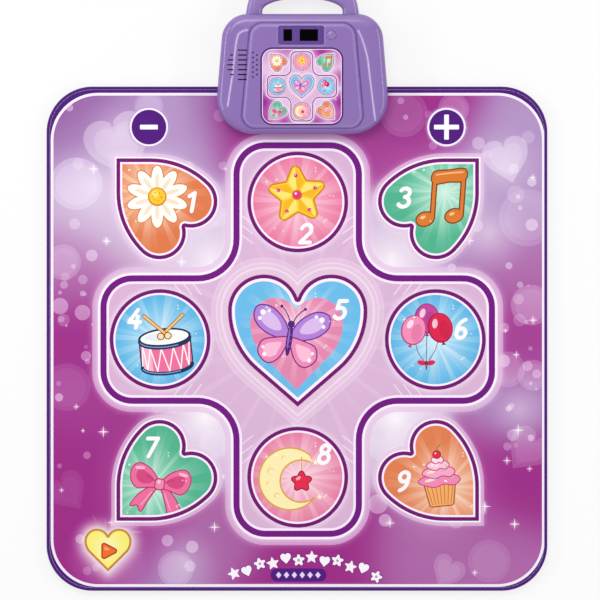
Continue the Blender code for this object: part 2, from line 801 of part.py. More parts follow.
def post_places():
    """Posts under the panel board's corners."""
    front = panel_board_front + POST_INSET
    rear = panel_board_rear - POST_INSET
    half = LABEL_WIDTH / 2 - POST_INSET
    return [(label_x + side * half, y) for y in (front, rear) for side in (-1, 1)]


def main_post_places():
    """Posts under the main board's corners."""
    front = main_board_front + POST_INSET
    rear = main_board_rear - POST_INSET
    half = MAIN_BOARD_WIDTH / 2 - POST_INSET
    return [(BOX_CENTRE_X + side * half, y) for y in (front, rear) for side in (-1, 1)]


def handle_leg(side, grow=0.0):
    """A leg's outline where it passes through the wall."""
    width = HANDLE_FOOT_HALF - GRIP_HALF
    centre_x = BOX_CENTRE_X + side * (HANDLE_FOOT_HALF - width / 2)
    rear = box_rear_y + HANDLE_ROUND
    length = rear - handle_toe_y
    return rectangle(width + 2 * grow, length, (centre_x, rear - length / 2))


def handle_cutter(name):
    """What the handle's legs take out of a shell: the leg and a little clearance."""
    half = HANDLE_THICKNESS / 2 + SEAT
    legs = [handle_leg(side, SEAT) for side in (-1, 1)]
    return plate(name, legs, BOX_PARTING_Z - half, BOX_PARTING_Z + half, cutter=True)


def make_handle():
    """An arch over a half-oval finger gap, with a toe on each leg inside the wall."""
    half = HANDLE_THICKNESS / 2
    x = BOX_CENTRE_X
    crown = box_rear_y + HANDLE_REACH
    corners = [(x - HANDLE_FOOT_HALF, handle_toe_y), (x + HANDLE_FOOT_HALF, handle_toe_y)]
    corners += [(x + HANDLE_CROWN_HALF, crown), (x - HANDLE_CROWN_HALF, crown)]
    arch = rounded(corners, [0.0, 0.0, HANDLE_RADIUS, HANDLE_RADIUS], 0.0, 5)
    oval_y = box_rear_y + GRIP_STRAIGHT
    gap = [(x + GRIP_HALF * a, oval_y + GRIP_RISE * b) for a, b in arc((0.0, 0.0), 1.0, math.pi, 0.0, 12)]
    inner = [(x - GRIP_HALF, handle_toe_y)] + gap + [(x + GRIP_HALF, handle_toe_y)]
    handle = plate(
        "carry_handle", [arch[:1] + inner + arch[1:]], BOX_PARTING_Z - half, BOX_PARTING_Z + half,
        purple_plastic())
    bevel(handle, HANDLE_ROUND, 2)
    width = HANDLE_FOOT_HALF - GRIP_HALF
    for side in (-1, 1):
        size = (width + 2 * HANDLE_TOE, HANDLE_TOE_THICKNESS, HANDLE_THICKNESS + 2 * HANDLE_TOE)
        centre_x = BOX_CENTRE_X + side * (HANDLE_FOOT_HALF - width / 2)
        centre = (centre_x, handle_toe_y + HANDLE_TOE_THICKNESS / 2, BOX_PARTING_Z)
        carve(handle, block("handle_toe", size, centre, cutter=True), "UNION")


def mat_notch(name, rear, top):
    """The space the mat takes below the box's front."""
    size = (2 * BOX_FRONT_HALF + PAST, 2 * BOX_LENGTH, BOX_TOP_Z)
    return block(name, size, (BOX_CENTRE_X, rear - size[1] / 2, top - size[2] / 2), cutter=True)


def half_space(name, limit, side):
    """A block over the whole box, above (side 1) or below (side -1) a height."""
    size = (2 * BOX_FRONT_HALF + PAST, BOX_LENGTH + PAST, 2 * BOX_TOP_Z)
    centre = (BOX_CENTRE_X, box_front_y + BOX_LENGTH / 2, limit + side * size[2] / 2)
    return block(name, size, centre, cutter=True)


def post(place, floor_z, board_z):
    """A board post rising from the floor, and the staked peg that goes through its board."""
    peg_top = board_z + BOARD_THICKNESS + PEG_PROUD
    return [
        disc("post", POST_RADIUS, floor_z - WALL / 2, board_z - SEAT, place, steps=6),
        disc("peg", PEG_RADIUS, board_z - BOARD_THICKNESS, peg_top, place, steps=6)]


def make_base_shell():
    """Lower casing: deep beyond the mat, shallow where it lies on it."""
    trim = BOX_PARTING_Z - SEAT / 2
    base = shell_blank(
        "base_shell", box_outline(), BOX_BOTTOM_Z, BOX_TOP_Z, BOX_BOTTOM_ROUND, purple_plastic())
    carve(base, half_space("above_parting", trim, 1))
    carve(base, mat_notch("front_notch", step_y, front_floor_z))
    hollow = plate("base_hollow", [box_outline(-WALL)], rear_inner_z, BOX_TOP_Z, cutter=True)
    carve(hollow, mat_notch("hollow_notch", step_y + WALL, front_inner_z))
    carve(base, hollow)

    bay_size = (bay_width + 2 * BAY_END, bay_length + 2 * BAY_SIDE, bay_roof_z + BAY_ROOF - BOX_BOTTOM_Z)
    bay_centre = (BOX_CENTRE_X, bay_y, BOX_BOTTOM_Z + bay_size[2] / 2)
    carve(base, block("bay", bay_size, bay_centre, cutter=True), "UNION")
    posts = []
    for x, y in post_places():
        floor_z = rear_inner_z if y > step_y else front_inner_z
        posts += post((x, y), floor_z, panel_board_z)
    for place in main_post_places():
        posts += post(place, front_inner_z, main_board_z)
    for piece in posts:
        carve(base, hide(piece), "UNION")

    recess = rectangle(door_width, door_length, (BOX_CENTRE_X, bay_y), 0.0, DOOR_SIDE_GAP)
    pocket = rectangle(bay_width, bay_length, (BOX_CENTRE_X, bay_y))
    carve(base, plate("door_recess", [recess], -PAST, door_top_z + SEAT, cutter=True))
    carve(base, plate("cell_pocket", [pocket], 0.0, bay_roof_z, cutter=True))
    floors = [(place, door_top_z + BOSS_DEPTH) for place in door_screw_places()]
    floors += [(place, front_inner_z + PAST / 10) for place in clamp_screw_places()]
    floors += [(place, rear_inner_z + PAST / 10) for place in case_screw_places()]
    for place, end in floors:
        carve(base, disc("hole", SCREW_RADIUS + SCREW_GAP, 0.0, end, place, steps=8, cutter=True))
    for place in case_screw_places():
        carve(base, disc(
            "head_pocket", SCREW_HEAD_RADIUS + SCREW_GAP, -PAST, head_pocket_z + SEAT, place, steps=8,
            cutter=True))
    slot = plate("ribbon_cut", [ribbon_slot(2 * SEAT)], 0.0, BOX_PARTING_Z, cutter=True)
    carve(base, slot)
    carve(base, handle_cutter("base_handle_cut"))
    size = (slide_slot_width, 2 * PAST, slide_slot_height)
    carve(base, block("slide_slot", size, (slide_x, box_rear_y, SLIDE_HEIGHT_Z), cutter=True))
    tidy_cuts(base)


def hide(piece):
    """Turn a solid into a cutter."""
    piece.hide_render = True
    piece.display_type = "WIRE"
    parts.objects.unlink(piece)
    tools.objects.link(piece)
    return piece


def door_screw_places():
    reach = bay_width / 2 + DOOR_LIP / 2
    return [(BOX_CENTRE_X - reach, bay_y), (BOX_CENTRE_X + reach, bay_y)]


def grille_cuts():
    """Slots and holes inside a circle: long slots, short outer slots and two columns of holes."""
    loops = []
    for row in range(-3, 4):
        y = speaker_y + row * GRILLE_PITCH
        left = speaker_x + GRILLE_SLOT_LEFT
        right = speaker_x + GRILLE_SLOT_RIGHT
        loops.append(rectangle(right - left, GRILLE_SLOT_WIDTH, ((left + right) / 2, y)))
        if abs(row) < 3:
            edge = speaker_x - math.sqrt(GRILLE_RADIUS ** 2 - (row * GRILLE_PITCH) ** 2)
            right = speaker_x + GRILLE_SHORT_RIGHT
            loops.append(rectangle(right - edge, GRILLE_SLOT_WIDTH, ((edge + right) / 2, y)))
    for row in range(6):
        y = speaker_y + (row - 2.5) * GRILLE_PITCH
        loops.append(rectangle(GRILLE_HOLE_SIZE, GRILLE_HOLE_SIZE, (speaker_x + GRILLE_COLUMN_A, y)))
    for row in range(-2, 3):
        y = speaker_y + row * GRILLE_PITCH
        loops.append(rectangle(GRILLE_HOLE_SIZE, GRILLE_HOLE_SIZE, (speaker_x + GRILLE_COLUMN_B, y)))
    return loops


def make_top_shell():
    """Upper casing: a pillow with a raised face panel, hollow, with bosses for the screws."""
    trim = BOX_PARTING_Z + SEAT / 2
    below = 2 * BOX_PARTING_Z - BOX_TOP_Z - PAST
    top = shell_blank("top_shell", box_outline(), below, BOX_TOP_Z, BOX_TOP_ROUND, purple_plastic())
    panel = plate("panel", [panel_outline()], BOX_TOP_Z - BOX_TOP_ROUND, panel_top, cutter=True)
    bevel(panel, PANEL_ROUND, 2)
    carve(top, panel, "UNION")
    hollow_round = BOX_TOP_ROUND - WALL
    hollow = shell_blank(
        "top_hollow", box_outline(-WALL), below - PAST, BOX_TOP_Z - WALL, hollow_round, cutter=True)
    panel_hollow = plate("panel_hollow", [panel_outline(-WALL)], BOX_PARTING_Z, panel_under, cutter=True)
    carve(top, hollow)
    carve(top, panel_hollow)
    carve(top, half_space("below_parting", trim, -1))

    bosses = []
    pilots = []
    floors = [(place, front_inner_z) for place in clamp_screw_places()]
    floors += [(place, rear_inner_z) for place in case_screw_places()]
    for place, floor_z in floors:
        bosses.append(disc("boss", BOSS_RADIUS, floor_z + SEAT, BOX_TOP_Z - WALL / 2, place, steps=8))
        pilots.append(disc(
            "pilot", SCREW_RADIUS + SCREW_GAP, floor_z - WALL, floor_z + BOSS_DEPTH, place, steps=8))
    carve(top, hide(gather("bosses", bosses, None)), "UNION")
    carve(top, hide(gather("pilots", pilots, None)))

    high = panel_top + PAST
    opening = (button_x, bezel_y)
    carve(top, plate("label_recess", [label_outline(SEAT)], label_floor, high, cutter=True))
    carve(top, plate("label_window", [label_outline(-LABEL_LEDGE)], BOX_PARTING_Z, high, cutter=True))
    carve(top, plate("bezel_recess", [bezel_outline(SEAT)], bezel_floor, high, cutter=True))
    windows = [window_outline(LEVEL_WINDOW_WIDTH, LEVEL_WINDOW_SHIFT, SEAT)]
    windows.append(window_outline(SCORE_WINDOW_WIDTH, SCORE_WINDOW_SHIFT, SEAT))
    carve(top, plate("window_cut", windows, BOX_PARTING_Z, high, cutter=True))
    carve(top, disc(
        "button_cut", BUTTON_RADIUS + SEAT, BOX_PARTING_Z, high, opening, steps=16, cutter=True))
    carve(top, plate("grille_cut", grille_cuts(), BOX_TOP_Z - WALL - PAST, high, cutter=True))
    carve(top, handle_cutter("top_handle_cut"))
    tidy_cuts(top)


def make_display():
    """The dark display plate, the smoked lens that fills its windows and the digit blocks behind."""
    level = window_outline(LEVEL_WINDOW_WIDTH, LEVEL_WINDOW_SHIFT, SEAT)
    score = window_outline(SCORE_WINDOW_WIDTH, SCORE_WINDOW_SHIFT, SEAT)
    bottom = bezel_floor + SEAT
    plate("display_bezel", [bezel_outline(), level, score], bottom, bottom + BEZEL_THICKNESS,
          deep_purple_plastic())
    lens_top = panel_under - SEAT
    lens_floor = lens_top - LENS_THICKNESS
    left = LEVEL_WINDOW_SHIFT - LEVEL_WINDOW_WIDTH / 2
    right = SCORE_WINDOW_SHIFT + SCORE_WINDOW_WIDTH / 2
    size = (right - left + 2 * LENS_MARGIN, WINDOW_LENGTH + 2 * LENS_MARGIN, LENS_THICKNESS)
    centre = (bezel_x + (left + right) / 2, bezel_y, (lens_top + lens_floor) / 2)
    lens = block("display_lens", size, centre, black_plastic())
    land_low = (lens_top + lens_floor) / 2
    land_top = bottom + BEZEL_THICKNESS - SEAT
    low = panel_board_z + BOARD_THICKNESS + SEAT
    high = lens_floor - SEAT
    for digit, width, shift in (
            ("level_digit", LEVEL_WINDOW_WIDTH, LEVEL_WINDOW_SHIFT),
            ("score_digits", SCORE_WINDOW_WIDTH, SCORE_WINDOW_SHIFT)):
        x = bezel_x + shift
        land = (width, WINDOW_LENGTH, land_top - land_low)
        carve(lens, block("land", land, (x, bezel_y, (land_low + land_top) / 2), cutter=True), "UNION")
        block(digit, (width, WINDOW_LENGTH, high - low), (x, bezel_y, (low + high) / 2), black_plastic())


def make_light_panel():
    """The translucent label, its nine-cell grid, the strip of nine lamps and their board."""
    bottom = label_floor + SEAT
    plate("light_label", [label_outline()], bottom, bottom + LABEL_THICKNESS, printed_cover())
    outer = label_outline(-LABEL_LEDGE - 2 * SEAT)
    cell_x = (LABEL_WIDTH - 2 * LABEL_LEDGE) / 3
    cell_y = (label_length - 2 * LABEL_LEDGE) / 3
    loops = [outer]
    middle = (label_x, label_y)
    spine = rectangle(LAMP_STRIP_WIDTH, 2 * cell_y + LAMP_STRIP_WIDTH, middle)
    strip_top = lamp_z + LAMP_STRIP_THICKNESS
    strip = plate("lamp_strip", [spine], lamp_z, strip_top, white_plastic())
    margin = LAMP_STRIP_THICKNESS / 10
    lamp_low = lamp_z + 2 * margin
    lamp_size = (LAMP_SIZE, LAMP_SIZE, strip_top + LAMP_HEIGHT - lamp_low)
    for row in (-1, 0, 1):
        y = label_y + row * cell_y
        branch = rectangle(2 * cell_x + LAMP_STRIP_WIDTH, LAMP_STRIP_WIDTH - 2 * margin, (label_x, y))
        branch_solid = plate("branch", [branch], lamp_z + margin, strip_top - margin, cutter=True)
        carve(strip, branch_solid, "UNION")
        for column in (-1, 0, 1):
            centre = (label_x + column * cell_x, y)
            cell = box_corners(cell_x - 2 * GRID_WALL, cell_y - 2 * GRID_WALL, centre)
            outer_corner = {(-1, -1): 0, (1, -1): 1, (1, 1): 2, (-1, 1): 3}.get((column, row))
            radii = [LAMP_CELL_RADIUS] * 4
            if outer_corner is not None:
                radii[outer_corner] = LABEL_RADIUS - LABEL_LEDGE
            loops.append(rounded(cell, radii, 0.0, 2))
            lamp = block("lamp", lamp_size, (*centre, lamp_low + lamp_size[2] / 2), cutter=True)
            carve(strip, lamp, "UNION")
    plate("light_grid", loops, grid_z, grid_z + GRID_HEIGHT, white_plastic())
    centre_y = (panel_board_front + panel_board_rear) / 2
    length = panel_board_rear - panel_board_front
    board = rectangle(LABEL_WIDTH, length, (label_x, centre_y), BOARD_CORNER_RADIUS, 0.0, 2)
    holes = screw_holes(PEG_RADIUS + PEG_GAP, post_places())
    plate("panel_board", [board] + holes, panel_board_z, panel_board_z + BOARD_THICKNESS, circuit_board())


def make_mode_button():
    """A domed cap on a flange below the panel, its stem in the bore of its switch."""
    board_top = panel_board_z + BOARD_THICKNESS + SEAT
    switch_top = board_top + SWITCH_HEIGHT
    flange_top = panel_under - SEAT
    flange_low = flange_top - BUTTON_FLANGE_THICKNESS
    crown = panel_top + BUTTON_PROUD
    rim = crown - BUTTON_CROWN
    stem_low = switch_top - SEAT
    profile = [(0.0, crown)]
    for step in range(1, 5):
        angle = math.pi / 2 * step / 4
        profile.append((BUTTON_RADIUS * math.sin(angle), rim + (crown - rim) * math.cos(angle)))
    profile += [(BUTTON_RADIUS, flange_top), (BUTTON_RADIUS + BUTTON_FLANGE, flange_top)]
    profile += [(BUTTON_RADIUS + BUTTON_FLANGE, flange_low), (BUTTON_STEM_RADIUS, flange_low)]
    profile += [(BUTTON_STEM_RADIUS, stem_low), (0.0, stem_low)]
    profile = [(radius, height - flange_low) for radius, height in profile]
    turned("mode_button", profile, (button_x, bezel_y, flange_low), purple_plastic(), 16)
    switch = block(
        "mode_switch", (SWITCH_SIZE, SWITCH_SIZE, SWITCH_HEIGHT),
        (button_x, bezel_y, board_top + SWITCH_HEIGHT / 2), black_plastic())
    bore = disc(
        "switch_bore", BUTTON_STEM_RADIUS + SEAT, stem_low - BUTTON_TRAVEL - SEAT, switch_top + PAST,
        (button_x, bezel_y), steps=8, cutter=True)
    carve(switch, bore)


def make_speaker():
    """A small loudspeaker below the grille: a frame with its rim, a cone and a magnet."""
    rim_top = BOX_TOP_Z - WALL - SEAT
    rim_low = rim_top - SPEAKER_FLANGE
    frame_low = rim_top - SPEAKER_DEPTH + MAGNET_HEIGHT
    inner = CONE_WIDTH
    floor = frame_low + SPEAKER_WALL
    profile = [(inner, rim_top), (SPEAKER_RADIUS, rim_top), (SPEAKER_RADIUS, rim_low)]
    profile += [(inner + SPEAKER_WALL, rim_low), (MAGNET_RADIUS, frame_low)]
    profile += [(SPEAKER_BORE_RADIUS, frame_low), (SPEAKER_BORE_RADIUS, floor)]
    profile += [(MAGNET_RADIUS - SPEAKER_WALL, floor), (inner, rim_low)]
    place = (speaker_x, speaker_y, 0.0)
    turned("speaker_frame", profile, place, steel(), 16, closed=True)
    cone_top = rim_top - CONE_THICKNESS
    cone_rim = inner - SEAT
    apex = cone_top - CONE_DEPTH
    profile = [(0.0, apex + CONE_THICKNESS), (CONE_APEX_RADIUS, apex), (cone_rim, cone_top)]
    profile += [(cone_rim, cone_top - CONE_THICKNESS)]
    profile += [(CONE_APEX_RADIUS, apex - CONE_THICKNESS), (0.0, apex - CONE_THICKNESS)]
    turned("speaker_cone", profile, place, black_plastic(), 16)
    magnet_top = frame_low - SEAT
    disc("speaker_magnet", MAGNET_RADIUS, magnet_top - MAGNET_HEIGHT, magnet_top, place[:2], steel())


def make_electronics():
    """Main board, sound chip, ribbon and its connector."""
    front = main_board_front
    middle = (BOX_CENTRE_X, front + MAIN_BOARD_LENGTH / 2)
    board = rectangle(MAIN_BOARD_WIDTH, MAIN_BOARD_LENGTH, middle, BOARD_CORNER_RADIUS, 0.0, 1)
    holes = screw_holes(PEG_RADIUS + PEG_GAP, main_post_places())
    board_top = main_board_z + BOARD_THICKNESS
    plate("main_board", [board] + holes, main_board_z, board_top, circuit_board())
    chip = (BOX_CENTRE_X - MAIN_BOARD_WIDTH / 4, front + MAIN_BOARD_LENGTH / 2, board_top + SEAT)
    profile = [(0.0, CHIP_HEIGHT), (CHIP_RADIUS * 0.6, CHIP_HEIGHT * 0.8), (CHIP_RADIUS, 0.0), (0.0, 0.0)]
    turned("sound_chip", profile, chip, black_plastic(), 12)
    connector_y = ribbon_y - RIBBON_REACH
    connector_z = board_top + SEAT
    size = (RIBBON_WIDTH + 2 * CONNECTOR_SIDE, CONNECTOR_DEPTH, CONNECTOR_HEIGHT)
    block("ribbon_connector", size, (BOX_CENTRE_X, connector_y, connector_z + CONNECTOR_HEIGHT / 2),
          white_plastic())
    make_ribbon(connector_y, connector_z + CONNECTOR_HEIGHT + SEAT)


def make_ribbon(connector_y, socket_top):
    """The flat tail from the films, up through the base and over into its connector."""
    half = RIBBON_THICKNESS / 2
    crest = socket_top + RIBBON_RISE
    low = upper_film_z + FILM_THICKNESS + SEAT
    outer = [(ribbon_y + half, low), (ribbon_y + half, crest + half), (connector_y - half, crest + half)]
    inner = [(connector_y - half, socket_top), (connector_y + half, socket_top)]
    inner += [(connector_y + half, crest - half), (ribbon_y - half, crest - half), (ribbon_y - half, low)]
    strip = plate("ribbon_tail", [outer + inner], -RIBBON_WIDTH / 2, RIBBON_WIDTH / 2, clear_film())
    strip.rotation_euler = (math.pi / 2, 0.0, math.pi / 2)
    strip.location = (BOX_CENTRE_X, 0.0, 0.0)


def make_power_switch():
    """A slide knob in the rear wall and the switch behind it."""
    wall_inner = box_rear_y - WALL
    body_y = wall_inner - SEAT - SLIDE_BODY_DEPTH / 2
    body = block(
        "power_switch", (SLIDE_BODY_WIDTH, SLIDE_BODY_DEPTH, SLIDE_BODY_HEIGHT),
        (slide_x, body_y, SLIDE_HEIGHT_Z), black_plastic())
    size = (slide_slot_width, 2 * SLIDE_KNOB_DEPTH, slide_slot_height)
    carve(body, block("switch_slot", size, (slide_x, wall_inner, SLIDE_HEIGHT_Z), cutter=True))
    back = wall_inner - SLIDE_KNOB_DEPTH + SEAT
    front = box_rear_y - SLIDE_KNOB_SETBACK
    centre = (slide_x - SLIDE_TRAVEL / 2, (back + front) / 2, SLIDE_HEIGHT_Z)
    block("power_knob", (SLIDE_KNOB_WIDTH, front - back, SLIDE_KNOB_HEIGHT), centre, black_plastic())


def make_batteries():
    """Three cells side by side, the sprung contact bars at their ends, and the door below."""
    half = bay_width / 2
    bars = {}
    for side, name in ((-1, "contact_bar_left"), (1, "contact_bar_right")):
        x = BOX_CENTRE_X + side * (half - SEAT - BAY_CONTACT_THICKNESS / 2)
        size = (BAY_CONTACT_THICKNESS, bay_length - 4 * SEAT, BAY_CONTACT_HEIGHT)
        bars[side] = block(name, size, (x, bay_y, cell_z), steel())
    for index in range(CELL_COUNT):
        y = bay_y + (index - (CELL_COUNT - 1) / 2) * cell_pitch
        way = 1 if index % 2 == 0 else -1
        nub_end = half - BAY_CONTACT_THICKNESS - 2 * SEAT
        shoulder = nub_end - CELL_NUB_LENGTH
        tail = shoulder - CELL_LENGTH
        profile = [(0.0, nub_end), (CELL_NUB_RADIUS, nub_end), (CELL_NUB_RADIUS, shoulder)]
        profile += [(CELL_RADIUS, shoulder), (CELL_RADIUS, tail), (0.0, tail)]
        cell = turned("battery_cell_%d" % (index + 1), profile, (BOX_CENTRE_X, y, cell_z), steel(), 12)
        cell.rotation_euler = (0.0, way * math.pi / 2, 0.0)
        spring_end = tail - SEAT
        spring_start = -half + SEAT + BAY_CONTACT_THICKNESS / 2
        profile = [(0.0, spring_end), (SPRING_TIP_RADIUS, spring_end)]
        profile += [(SPRING_BASE_RADIUS, spring_start), (0.0, spring_start)]
        spring = turned("spring", profile, (BOX_CENTRE_X, y, cell_z), None, 8, cutter=True)
        spring.rotation_euler = (0.0, way * math.pi / 2, 0.0)
        carve(bars[-way], spring, "UNION")

    centre = (BOX_CENTRE_X, bay_y)
    door_loops = [rectangle(door_width, door_length)]
    door = plate("battery_door", door_loops, BOX_BOTTOM_Z, door_top_z, purple_plastic(), centre)
    for index, place in enumerate(door_screw_places()):
        carve(door, disc(
            "door_hole", SCREW_RADIUS + SCREW_GAP, 0.0, door_top_z + PAST, place, steps=8, cutter=True))
        carve(door, disc(
            "door_pocket", SCREW_HEAD_RADIUS + SCREW_GAP, -PAST, head_pocket_z + SEAT, place, steps=8,
            cutter=True))
        screw("door_screw_%d" % (index + 1), place, head_pocket_z, door_top_z + BOSS_DEPTH - 2 * SCREW_GAP)


def screw(name, place, head_top, end):
    """A pan-head screw driven upward: its head hangs below head_top."""
    head_low = head_top - SCREW_HEAD_THICKNESS
    profile = [(0.0, end), (SCREW_RADIUS, end), (SCREW_RADIUS, head_top)]
    profile += [(SCREW_HEAD_RADIUS, head_top), (SCREW_HEAD_RADIUS, head_low), (0.0, head_low)]
    profile = [(radius, height - head_low) for radius, height in profile]
    return turned(name, profile, (*place, head_low), steel(), 8)


def make_fasteners():
    """Clamp plate, feet and the screws that hold the casing."""
    places = clamp_screw_places()
    head_room = SCREW_HEAD_THICKNESS + 2 * SEAT
    clamp = plate("clamp_plate", [clamp_outline()] + screw_holes(SCREW_RADIUS + SCREW_GAP, places),
                  0.0, BACKING_THICKNESS, black_plastic())
    for index, place in enumerate(places):
        carve(clamp, disc(
            "head_room", SCREW_HEAD_RADIUS + SCREW_GAP, -PAST, head_room, place, steps=8, cutter=True))
        end = front_inner_z + BOSS_DEPTH - SCREW_GAP
        screw("clamp_screw_%d" % (index + 1), place, head_room - SEAT, end)
    for index, place in enumerate(case_screw_places()):
        screw("case_screw_%d" % (index + 1), place, head_pocket_z, rear_inner_z + BOSS_DEPTH - SCREW_GAP)
    y = step_y + FOOT_STEP_MARGIN + FOOT_LENGTH / 2
    for side, name in ((-1, "rubber_foot_left"), (1, "rubber_foot_right")):
        outline = rectangle(FOOT_WIDTH, FOOT_LENGTH, (0.0, 0.0), FOOT_RADIUS, 0.0, 2)
        place = (BOX_CENTRE_X + side * FOOT_SHIFT_X, y)
        plate(name, [outline], 0.0, BOX_BOTTOM_Z - SEAT, black_rubber(), place)


make_mat()
for pad_name in pad_layout:
    make_pad(pad_name)
make_base_shell()
make_top_shell()
make_handle()
make_display()
make_light_panel()
make_mode_button()
make_speaker()
make_electronics()
make_power_switch()
make_batteries()
make_fasteners()
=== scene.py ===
# A battery-powered dance mat: a printed play mat with step pads, and a control box on its rear edge.
# Outlines and prints are worked out in millimetres; every mesh is written in metres.
import itertools
import math

import bpy
import numpy as np
import mathutils
from mathutils.geometry import delaunay_2d_cdt
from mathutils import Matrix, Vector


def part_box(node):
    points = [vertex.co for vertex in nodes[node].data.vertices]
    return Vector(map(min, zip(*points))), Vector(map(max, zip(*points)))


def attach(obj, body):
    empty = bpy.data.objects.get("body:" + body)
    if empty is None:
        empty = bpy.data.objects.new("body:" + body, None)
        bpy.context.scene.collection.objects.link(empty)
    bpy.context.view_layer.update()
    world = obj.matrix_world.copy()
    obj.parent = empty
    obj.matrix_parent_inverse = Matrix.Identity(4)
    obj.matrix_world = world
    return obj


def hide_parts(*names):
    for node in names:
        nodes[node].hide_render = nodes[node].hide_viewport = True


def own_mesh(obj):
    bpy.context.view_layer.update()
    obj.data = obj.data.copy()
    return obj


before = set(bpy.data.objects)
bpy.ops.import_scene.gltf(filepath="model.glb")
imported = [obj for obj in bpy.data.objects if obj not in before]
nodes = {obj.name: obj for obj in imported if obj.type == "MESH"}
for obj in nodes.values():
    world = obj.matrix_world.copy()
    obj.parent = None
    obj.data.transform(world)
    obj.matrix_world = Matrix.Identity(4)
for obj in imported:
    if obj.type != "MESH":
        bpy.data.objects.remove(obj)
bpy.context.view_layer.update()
mm = 0.001


# Outlines: arrays of points in millimetres, anticlockwise

def circle(x, y, radius, count=56):
    # x and y plus the radius times the cosine and sine of equal steps round
    angle = np.arange(count) * 2 * np.pi / count
    return np.stack([x + radius * np.cos(angle), y + radius * np.sin(angle)], 1)


def oval(x, y, wide, high, turn=0.0, count=44):
    # a circle stretched to two half axes, then turned
    return moved(circle(0, 0, 1, count) * [wide, high], x, y, 1, turn)


def moved(loop, x=0.0, y=0.0, scale=1.0, turn=0.0):
    # scaled, turned by an angle in degrees, then shifted
    a = math.radians(turn)
    spin = np.array([[math.cos(a), math.sin(a)], [-math.sin(a), math.cos(a)]])
    return np.asarray(loop, float) * scale @ spin + [x, y]


def rounded(corners, radii, grow=0.0, steps=8, sideSteps=0):
    # every side moves out by grow, then each corner becomes an arc tangent to its two sides;
    # sideSteps more points are spread along each side
    corners = np.asarray(corners, float)
    radii = np.broadcast_to(np.asarray(radii, float), len(corners))
    goIn = corners - np.roll(corners, 1, 0)
    goIn /= np.linalg.norm(goIn, axis=1)[:, None]
    goOut = np.roll(goIn, -1, 0)
    turn = np.arctan2(goIn[:, 0] * goOut[:, 1] - goIn[:, 1] * goOut[:, 0], (goIn * goOut).sum(1))
    outIn = np.stack([goIn[:, 1], -goIn[:, 0]], 1)
    outOut = np.roll(outIn, -1, 0)
    corners = corners + (outIn + outOut) * (grow / (1 + (outIn * outOut).sum(1)))[:, None]
    sense = np.sign(turn)
    radius = np.maximum(radii + grow * sense, 0.02)
    start = corners - goIn * (radius * np.tan(np.abs(turn) / 2))[:, None]
    centre = start - outIn * (radius * sense)[:, None]
    first = np.arctan2(*(start - centre).T[::-1])
    angle = first[:, None] + turn[:, None] * np.linspace(0, 1, steps + 1)
    around = centre[:, None] + radius[:, None, None] * np.stack([np.cos(angle), np.sin(angle)], 2)
    share = (np.arange(sideSteps) + 1)[:, None] / (sideSteps + 1)
    last, following = around[:, -1:], np.roll(around, -1, 0)[:, :1]
    return np.concatenate([around, last + (following - last) * share], 1).reshape(-1, 2)


def box(x0, y0, x1, y1, radius, grow=0.0, steps=8):
    return rounded([(x0, y0), (x1, y0), (x1, y1), (x0, y1)], radius, grow, steps)


def boxAt(x, y, halfWide, halfHigh, radius, grow=0.0, steps=8):
    return box(x - halfWide, y - halfHigh, x + halfWide, y + halfHigh, radius, grow, steps)


def heart(shape, tip, heading, grow=0.0, steps=12):
    # from the tip a straight run, a wide arc and a round lobe, all tangent, then the same mirrored
    angle = math.radians(shape["tipAngle"])
    high = shape["lobeHeight"]
    widest = shape["lobeOffset"] + shape["lobeRadius"]
    sweep = (high * math.sin(angle) - widest * math.cos(angle)) / (1 - math.cos(angle))
    a = angle * (1 - np.linspace(0, 1, steps + 1))
    side = np.stack([high - (sweep + grow) * np.sin(a), widest - sweep + (sweep + grow) * np.cos(a)], 1)
    # the lobes meet in a notch, and a smaller heart runs round that point in an arc
    offset, lobe = shape["lobeOffset"], shape["lobeRadius"] + grow
    full = max(shape["lobeRadius"], lobe)
    last = math.acos(-offset / full)
    b = last * np.linspace(0, 1, 2 * steps + 1)[1:-1]
    top = np.stack([high + lobe * np.sin(b), offset + lobe * np.cos(b)], 1)
    c = np.linspace(last, np.pi / 2, 6)
    tight = max(-grow, 0.05)
    notch = np.stack([high + full * math.sin(last) - tight * np.sin(c), -tight * np.cos(c)], 1)
    half = np.concatenate([side, top, notch])
    loop = np.concatenate([[[-grow / math.sin(angle), 0]], half, half[-2::-1] * [1, -1]])
    return moved(loop[::-1], *tip, 1, heading)


def star(x, y, outer, inner, points=5, turn=90.0):
    # radii alternate between outer and inner at equal steps round
    angle = math.radians(turn) + np.arange(2 * points) * np.pi / points
    radius = np.where(np.arange(2 * points) % 2 == 0, outer, inner)
    return np.stack([x + radius * np.cos(angle), y + radius * np.sin(angle)], 1)


def cubic(a, b, c, d, steps):
    # from b to c, each tangent parallel to its neighbours' chord
    t = np.linspace(0, 1, steps, endpoint=False)[:, None, None]
    curve = 0.5 * (2 * b + (c - a) * t + (2 * a - 5 * b + 4 * c - d) * t**2 + (3 * b - a - 3 * c + d) * t**3)
    return curve.transpose(1, 0, 2).reshape(-1, 2)


def blob(controls, steps=7):
    # a closed curve through the control points
    p = np.asarray(controls, float)
    return anticlockwise(cubic(np.roll(p, 1, 0), p, np.roll(p, -1, 0), np.roll(p, -2, 0), steps))


def blobPath(controls, steps=6):
    # an open one, with a mirrored point past each end
    p = np.asarray(controls, float)
    p = np.concatenate([2 * p[:1] - p[1:2], p, 2 * p[-1:] - p[-2:-1]])
    return np.concatenate([cubic(p[:-3], p[1:-2], p[2:-1], p[3:], steps), p[-2:-1]])


